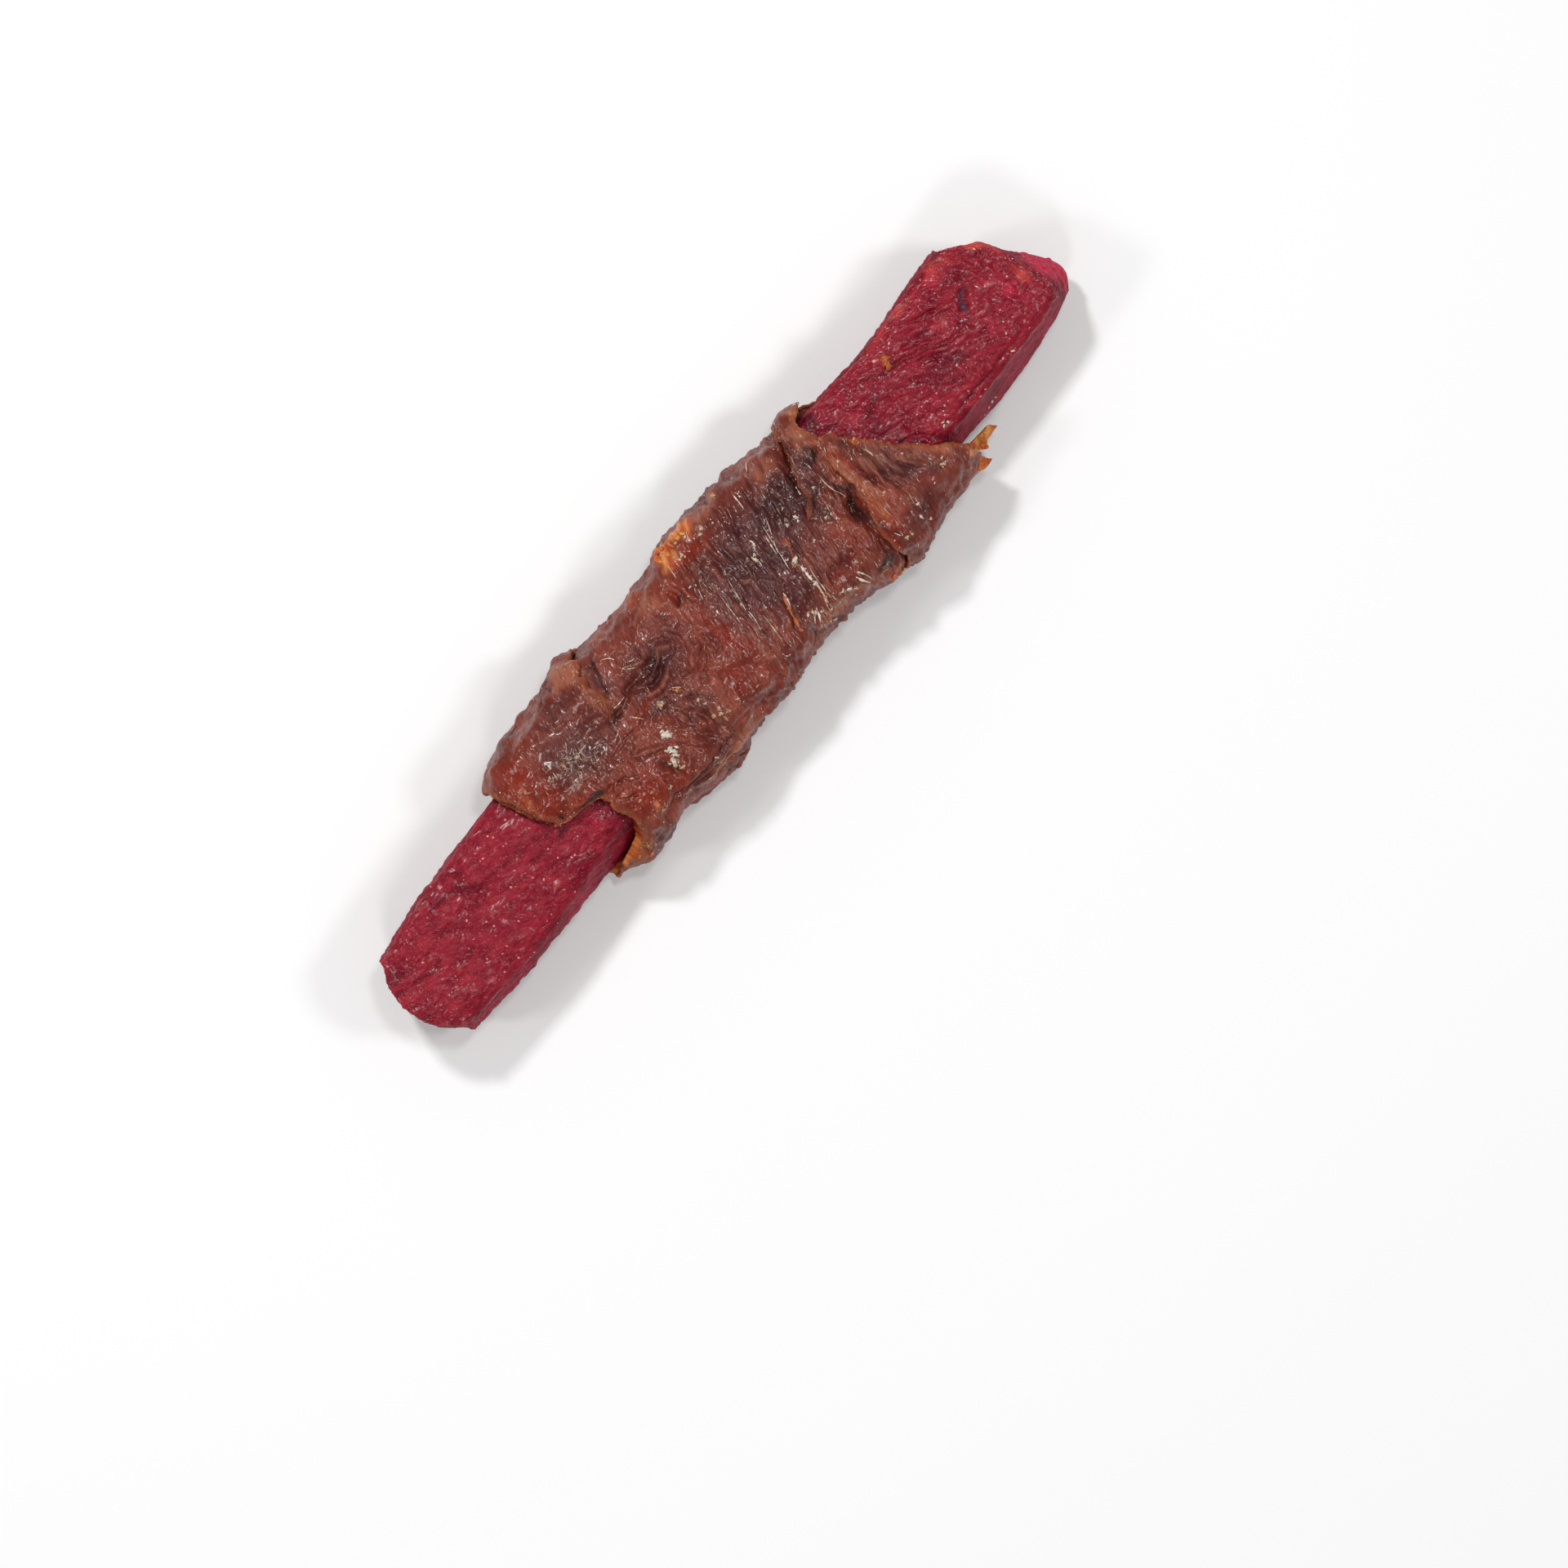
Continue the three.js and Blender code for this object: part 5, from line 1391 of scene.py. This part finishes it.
def makeFibres():
    bm = bmesh.new()
    warmth = bm.verts.layers.float.new("warmth")
    for width, warm, curl, points in paleFibres["named"]:
        xs = curve(*[(i, p[0]) for i, p in enumerate(points)])
        ys = curve(*[(i, p[1]) for i, p in enumerate(points)])
        count = 3 * (len(points) - 1)
        row = cutThread([fromAbove(meatTree, xs(i / 3), ys(i / 3)) for i in range(count + 1)])
        if len(row) > 2:
            layThread(bm, warmth, row, width * 0.8, warm, len(row) + 1, curl)
    draw = random.Random(paleFibres["seed"])
    kinds = [(True, False)] * paleFibres["shortRight"] + [(False, False)] * paleFibres["shortLeft"]
    kinds += [(i % 2 == 0, True) for i in range(paleFibres["shortRound"])]
    rows = [shortThread(draw, right, round) for right, round in kinds]
    for i in range(paleFibres["frosty"]):
        x = paleFibres["frostyPlace"][0] + draw.gauss(0, paleFibres["frostySpread"][0])
        y = paleFibres["frostyPlace"][1] + draw.gauss(0, paleFibres["frostySpread"][1])
        turn, long = draw.choice((-0.3, 0.9)) + draw.gauss(0, 0.3), draw.uniform(0.2, 0.8)
        rows.append([fromAbove(meatTree, x + math.cos(turn) * long * step / 3, y + math.sin(turn) * long * step / 3)
                     for step in range(4)])
    for row in rows:
        width, warm, curl = draw.uniform(0.03, 0.07), draw.choice((0.1, 0.2, 0.3, 0.45)), draw.choice((0, 0, 0.1))
        if evenThread(row) and min(place.z for place, normal in row) > paleFibres["lowest"]:
            layThread(bm, warmth, row, width, warm, 3, curl)
    bmesh.ops.recalc_face_normals(bm, faces=bm.faces)
    return finishPiece(bm, "pale_fibres", dryMaterial)


def crumbShapes(count, faces, draw, uneven=1.1):
    # a few uneven crumbs of about 1 mm, which are laid again and again at their own sizes
    shapes = []
    for i in range(count):
        bm = bmesh.new()
        bmesh.ops.create_icosphere(bm, subdivisions=faces, radius=0.5)
        shift = Vector((draw.uniform(0, 50), draw.uniform(0, 50), 0))
        stretch = Vector((1.15, draw.uniform(0.4, 0.95), draw.uniform(0.3, 0.6)))
        for vert in bm.verts:
            reach = 1 + uneven * noise.noise(vert.co * 2.6 + shift) + uneven * 0.55 * noise.noise(vert.co * 6 + shift)
            vert.co = vert.co * reach * stretch
        mesh = bpy.data.meshes.new("crumbShape")
        bm.to_mesh(mesh)
        bm.free()
        shapes.append(mesh)
    return shapes


def looseBits(seed):
    # an empty piece whose points have a warmth, and its random draws
    bm = bmesh.new()
    return bm, bm.verts.layers.float.new("warmth"), random.Random(seed)


def clearShapes(shapes):
    for shape in shapes:
        bpy.data.meshes.remove(shape)


def layCrumb(bm, warmth, shape, spot, size, turn, warm):
    place, normal = spot
    tilt = normal.to_track_quat("Z", "Y").to_matrix().to_4x4()
    laid = tilt @ Matrix.Rotation(turn, 4, "Z") @ Matrix.Scale(size, 4)
    copy = shape.copy()
    copy.transform(Matrix.Translation(place + normal * size * 0.1) @ laid)
    addMesh(bm, warmth, copy, warm)


paleCrumbs = {
    "seed": 12,
    "shapes": 8,
    # X, Y, size across in mm and warmth of each crumb, which is a heap of smaller grains
    "named": [
        (-10.2, -1.9, 0.9, 0), (-10.9, -3.1, 1, 0), (-11.5, -3.9, 0.9, 0.15), (-11.4, -4.7, 0.5, 0.2),
        (-11, -3.6, 0.6, 0.1), (-8.5, 0, 0.6, 0.2), (-6.2, -2.2, 0.35, 0.3), (-6.1, -2.8, 0.3, 0.2),
        (-5.8, -4.4, 0.45, 0.35), (-5.6, -4, 0.35, 0.2), (-5.3, -4.7, 0.4, 0.3), (-5.9, -5, 0.4, 0.4),
        (-6.4, -4.1, 0.4, 0.2), (-13.3, -4.9, 0.5, 0.4), (-15.2, -5.7, 0.5, 0.5), (-14.7, -4, 0.3, 0.3),
        (-15.9, -3.7, 0.3, 0.3), (-16.2, -2.3, 0.3, 0.2), (-14.8, -2, 0.3, 0.2), (-18.4, -6.6, 0.6, 0.5),
        (-17.9, -6.9, 0.5, 0.5), (-18.9, -6.2, 0.4, 0.6), (-9, -6.4, 0.4, 0.2), (-4.4, -6.5, 0.3, 0.2),
        (-4, -4.7, 0.3, 0.1), (2.4, 6.5, 0.5, 0.1), (1.9, 6.9, 0.3, 0.2), (4.8, 6.4, 0.4, 0.1), (5.2, 6.7, 0.4, 0.2),
        (6.2, 6.2, 0.3, 0.1), (0.1, 3.9, 0.2, 0.1), (0.8, 4.3, 0.2, 0), (1.2, 4, 0.2, 0.1), (6, 1.4, 0.5, 0),
        (6.3, 1.8, 0.3, 0.1), (6.9, 2.3, 0.4, 0.1), (7.6, -0.6, 0.3, 0.1), (8.1, -1.1, 0.6, 0.1),
        (7.7, -1.3, 0.4, 0.3), (9.9, 1.2, 0.3, 0.1), (10.9, 1.1, 0.5, 0.1), (10.3, -1.4, 0.3, 0.1),
        (11.2, -5.2, 0.3, 0.2), (12.5, -0.9, 0.3, 0), (13.8, 1.5, 0.4, 0.1), (2.3, 0, 0.3, 0.1), (5.2, -4.9, 0.4, 0),
        (5.7, -5.2, 0.5, 0.1), (6.1, -5.6, 0.4, 0.2), (8.6, -5.9, 0.4, 0.1), (9.1, -6.2, 0.5, 0.1),
        (9.5, -6.6, 0.4, 0.1), (7.9, -2.2, 0.4, 0), (7.8, -3, 0.3, 0.1), (7.6, -3.7, 0.4, 0), (7.4, -4.5, 0.3, 0.1),
        (7.1, -5.3, 0.4, 0.1), (6.8, -6.1, 0.3, 0.2), (6.4, -6.9, 0.4, 0.1), (7.2, -2.4, 0.2, 0), (3.9, -5.2, 0.3, 0),
        (12.2, -7.5, 0.5, 0.5), (18.3, 3.4, 0.5, 0.3), (16.8, 1.3, 0.3, 0.2), (16.2, -1.9, 0.2, 0.1),
        (15.3, -4.9, 0.2, 0.1), (17.2, -3.4, 0.3, 0.2), (15.5, -7.2, 0.4, 0.1), (16, -7.4, 0.3, 0.2),
        (17.6, -7.1, 0.4, 0), (18, -7.8, 0.3, 0.1), (18.3, -6.2, 0.3, 0.1), (20.5, -6.2, 0.2, 0.1),
        (22.2, -5.7, 0.5, 0.2), (22.6, -5.3, 0.3, 0.1), (21.8, -4.6, 0.2, 0.2), (20.7, -2.5, 0.2, 0.1),
        (17.8, 7.9, 0.3, 0.3), (18.2, 7.6, 0.3, 0.5), (18.3, 7.2, 0.4, 0.2), (18.5, 6.9, 0.3, 0.1),
        (18, 6.6, 0.3, 0.4), (-17.6, 3.1, 0.5, 0.4), (-16.3, 2.7, 0.4, 0.4), (-18.4, 4, 0.4, 0.1),
        (-17.9, 1.6, 0.3, 0.1), (-16.7, 1.9, 0.3, 0.1), (-15, 2.4, 0.3, 0), (-19.1, 3.4, 0.3, 0.2),
        (-14.3, 2.9, 0.3, 0.1), (1.6, 7.9, 0.4, 0.3), (0.9, 7.5, 0.4, 0.4), (2.9, 7.6, 0.3, 0.2),
        (3.8, 7.3, 0.3, 0.1), (-2.9, 8, 0.4, 0.2),
    ],
}


def makeCrumbs():
    bm, warmth, draw = looseBits(paleCrumbs["seed"])
    shapes = crumbShapes(paleCrumbs["shapes"], 2, draw)
    for x, y, size, warm in paleCrumbs["named"]:
        for grain in range(3 + round(size * 8)):
            away = size * 0.55 * draw.random() ** 0.8 if grain else 0
            turn = draw.uniform(0, math.tau)
            spot = fromAbove(meatTree, x + math.cos(turn) * away, y + math.sin(turn) * away)
            grainSize = 0.05 + size * draw.uniform(0.1, 0.4) if grain else size * 0.8
            layCrumb(bm, warmth, draw.choice(shapes), spot, grainSize, draw.uniform(0, math.tau),
                     clamp(warm + draw.uniform(-0.05, 0.3)))
    clearShapes(shapes)
    return finishPiece(bm, "pale_crumbs", dryMaterial)


frostGrains = {
    "seed": 23,
    "shapes": 10,
    "tries": 14000,  # places drawn on top; a frosty place is kept more often
    # plain: pale grains scattered over all the meat, partly dried specks and partly painted glints
    "plain": 0.1,
    "frosty": 0.1,
    "around": 260,  # on the sides and underneath
    "size": (0.06, 0.17),
}


def makeFrostGrains():
    bm, warmth, draw = looseBits(frostGrains["seed"])
    shapes = crumbShapes(frostGrains["shapes"], 1, draw)
    spots = []
    for i in range(frostGrains["tries"]):
        x, s, chance = draw.uniform(-23, 25), draw.uniform(-12, 12), draw.random()
        frosty = meatSurface(putRound(x, s / roundTotal * 360, 7), s)[2]["frost"]
        grainy = 0.5 + noise.noise(Vector((x * 0.8, s * 0.8, 6)))
        if chance < frostGrains["plain"] * grainy + frostGrains["frosty"] * frosty ** 1.5:
            spots.append((x, s))
    for i in range(frostGrains["around"]):
        spots.append((draw.uniform(-22, 23), draw.choice((-1, 1)) * draw.uniform(11, roundTotal / 2)))
    for x, s in spots:
        place, normal = fromRound(meatTree, x, s / roundTotal * 360)
        size = mix(*frostGrains["size"], draw.random() ** 2.5)
        if place.z > 0.4:
            layCrumb(bm, warmth, draw.choice(shapes), (place, normal), size, draw.uniform(0, math.tau),
                     draw.choice((0, 0.1, 0.2, 0.3, 0.45)))
    clearShapes(shapes)
    return finishPiece(bm, "frost_grains", dryMaterial)


makeFibres()
makeCrumbs()
makeFrostGrains()
print("fibres and crumbs laid")


amberFat = {
    "seed": 31,
    # thin sheets that stand out past the meat: edges by X, height by X, and how crumpled they are
    "sheets": [
        {"ends": (22.6, 27.85), "low": curve((22.6, -7), (24.6, -7.1), (25.4, -7.4), (26, -7.85), (26.25, -7.45),
                                             (26.9, -7.3), (27.85, -7.25)),
         "high": curve((22.6, -5.9), (25, -6.3), (26.6, -6.45), (27.5, -6.6), (27.85, -7.1)),
         "height": curve((22.6, 3.4), (25, 3.6), (27.85, 3.9)), "thick": 0.3, "crumple": 0.3},
        {"ends": (23.1, 25.3), "low": curve((23.1, -8.1), (23.6, -8.35), (24.2, -8.7), (24.8, -8.75), (25.3, -8.7)),
         "high": curve((23.1, -6), (24.2, -6.4), (24.7, -6.9), (25, -7.8), (25.3, -8.6)),
         "height": curve((23.1, 6), (24.4, 5.8), (25.3, 5.5)), "thick": 0.4, "crumple": 0.22},
    ],
    "grid": (44, 16),
    # X, Y and size of soft lumps of the same fat on the meat
    "lumps": [
        (0.9, 7.8, 0.9), (1.5, 8.2, 1), (1.8, 7.6, 0.8), (2.5, 7.8, 0.9), (3.3, 7.8, 0.6), (3.9, 7.6, 0.5),
        (8, 7.6, 0.4), (-6.7, -0.3, 0.3), (12.3, -8.5, 0.5), (12.9, -8.8, 0.5), (13.4, -8.7, 0.5), (13.9, -8.4, 0.4),
        (17.6, 7.7, 0.4), (18.1, 7.9, 0.3), (-19.6, -6.6, 0.4), (-18.7, -7.2, 0.5), (19.1, 1.4, 0.3),
        (-18.4, -6, 0.4),
    ],
}


def makeAmber():
    bm = bmesh.new()
    rows, columns = amberFat["grid"]
    for sheet in amberFat["sheets"]:
        firstVert, firstFace = len(bm.verts), len(bm.faces)
        bmesh.ops.create_grid(bm, x_segments=rows, y_segments=columns, size=1)
        bmesh.ops.solidify(bm, geom=bm.faces[firstFace:], thickness=0.4)
        verts = bm.verts[firstVert:]
        top = max(vert.co.z for vert in verts)
        for vert in verts:
            x = mix(*sheet["ends"], (vert.co.x + 1) / 2)
            low, high = sheet["low"](x), sheet["high"](x)
            x += noise.noise(Vector((x * 2, vert.co.y * 2, 4))) * 0.12
            y = mix(low, high, (vert.co.y + 1) / 2)
            edge = math.sqrt(max(0, 1 - vert.co.y ** 6)) * soft(sheet["ends"][1] + 0.1, sheet["ends"][1] - 0.5, x)
            z = sheet["height"](x) + noise.noise(Vector((x * 1.1, y * 1.3, 8))) * sheet["crumple"] * 2
            z += noise.noise(Vector((x * 3, y * 3.4, 3))) * sheet["crumple"] * 0.6
            z += sheet["thick"] * mix(0.3, 1, edge) * (0.5 if vert.co.z > top - 0.05 else -0.5)
            vert.co = Vector((x, y, z))
    bmesh.ops.recalc_face_normals(bm, faces=bm.faces)
    settleFaces(bm)
    draw = random.Random(amberFat["seed"])
    warmth = bm.verts.layers.float.new("warmth")
    shapes = crumbShapes(5, 3, draw, 0.4)
    for x, y, size in amberFat["lumps"]:
        layCrumb(bm, warmth, draw.choice(shapes), fromAbove(meatTree, x, y), size, draw.uniform(0, math.tau), 1)
    clearShapes(shapes)
    return finishPiece(bm, "amber_fat", amberMaterial, ["duck_wrap"])


potatoCrumbs = {
    "seed": 37,
    "orange": [(25.7, 3, 0.75), (26, 3.6, 0.7), (25.9, 3.3, 0.6), (26.2, 3.9, 0.35)],
    "pale": [(27.3, 4.2, 0.22), (25.3, -3.8, 0.3), (24.8, -3.75, 0.26), (25, -3.5, 0.22), (33.4, -4.3, 0.26),
             (29.1, -5.6, 0.25), (29.6, -5.6, 0.2), (28.6, -5.7, 0.2), (38, 3.6, 0.2), (37, 5.3, 0.22)],
    # specks: tiny pale crumbs scattered on the potato, partly pale specks and partly painted glints
    "specks": 70,
    "rim": 70,  # on the outer edge and the end of the shown half
}


def makePotatoCrumbs():
    bm, warmth, draw = looseBits(potatoCrumbs["seed"])
    shapes = crumbShapes(5, 2, draw)
    small = crumbShapes(6, 1, draw)
    for kind, warm in (("orange", 0.95), ("pale", 0.2)):
        for x, y, size in potatoCrumbs[kind]:
            spot = fromAbove(potatoTree, x, y)
            layCrumb(bm, warmth, draw.choice(shapes), spot, size, draw.uniform(0, math.tau), warm)
    for i in range(potatoCrumbs["specks"] + potatoCrumbs["rim"]):
        x = draw.uniform(-41, -23.5) if i % 3 == 0 else draw.uniform(17, 41)
        spot = fromRound(potatoTree, x, draw.uniform(-180, 180))
        if i >= potatoCrumbs["specks"]:
            spot = fromRound(potatoTree, draw.uniform(22, 39.5), draw.uniform(55, 64))
        if i % 2 and i >= potatoCrumbs["specks"]:
            spot = fromRound(potatoTree, draw.uniform(39, 41.4), draw.uniform(-70, 70))
        size = mix(0.06, 0.15, draw.random() ** 2)
        layCrumb(bm, warmth, draw.choice(small), spot, size, draw.uniform(0, math.tau), draw.choice((0.1, 0.3, 0.5)))
    clearShapes(shapes + small)
    return finishPiece(bm, "potato_crumbs", dryMaterial)


makeAmber()
makePotatoCrumbs()
print("amber fat and potato crumbs laid")

view = {
    "centre": (-7.14, -12.23),  # mm, what the middle of the picture looks at
    "turn": -51.1,  # degrees, the chew lies slanting in the picture
    "width": 132.4,  # mm across the picture at the top of the chew
    "height": 7.5,
    "lens": 200,
    "sensor": 36,
}

studio = {
    "floor": (0.93, 0.93, 0.93, 1),
    "ambient": 0.25,
    "lights": [  # where each soft light stands in the picture (right, up), its height and size in metres, and power
        ("keyLight", -0.18, 0.22, 0.46, 0.055, 1.1),
        ("topLight", 0.06, 0.10, 0.56, 0.055, 0.5),
        ("fillLight", 0.30, 0.02, 0.42, 0.08, 0.48),
        ("lowLight", -0.02, -0.30, 0.42, 0.08, 0.38),
        ("leftLight", -0.34, -0.10, 0.38, 0.08, 0.38),
    ],
}


def makeStudio():
    scene = bpy.context.scene
    bm = bmesh.new()
    bmesh.ops.create_grid(bm, x_segments=2, y_segments=2, size=3)
    mesh = bpy.data.meshes.new("studio_floor")
    bm.to_mesh(mesh)
    bm.free()
    floor = bpy.data.objects.new("studio_floor", mesh)
    scene.collection.objects.link(floor)
    material, tree = newMaterial("paleFloor")
    setShader(tree, {"Base Color": studio["floor"], "Roughness": 0.9, "Specular IOR Level": 0.1})
    mesh.materials.append(material)
    world = bpy.data.worlds.new("studioWorld")
    world.use_nodes = True
    fill(world.node_tree, world.node_tree.nodes["Background"], {"Color": (1, 1, 1, 1), "Strength": studio["ambient"]})
    scene.world = world
    turn = math.radians(view["turn"])
    right = Vector((math.cos(turn), math.sin(turn), 0))
    up = Vector((-math.sin(turn), math.cos(turn), 0))  # of the picture
    for name, toRight, toUp, height, size, power in studio["lights"]:
        light = bpy.data.lights.new(name, "AREA")
        light.size = size
        light.energy = power
        lamp = bpy.data.objects.new(name, light)
        lamp.location = right * toRight + up * toUp + Vector((0, 0, height))
        lamp.rotation_euler = lamp.location.to_track_quat("Z", "Y").to_euler()
        scene.collection.objects.link(lamp)
    lens = bpy.data.cameras.new("photoCamera")
    lens.lens = view["lens"]
    lens.sensor_width = view["sensor"]
    camera = bpy.data.objects.new("photoCamera", lens)
    distance = view["width"] * view["lens"] / view["sensor"]
    camera.location = (view["centre"][0] * mm, view["centre"][1] * mm, (view["height"] + distance) * mm)
    camera.rotation_euler = (0, 0, turn)
    scene.collection.objects.link(camera)
    scene.camera = camera
    scene.view_settings.view_transform = "Standard"


makeStudio()
print("studio made")
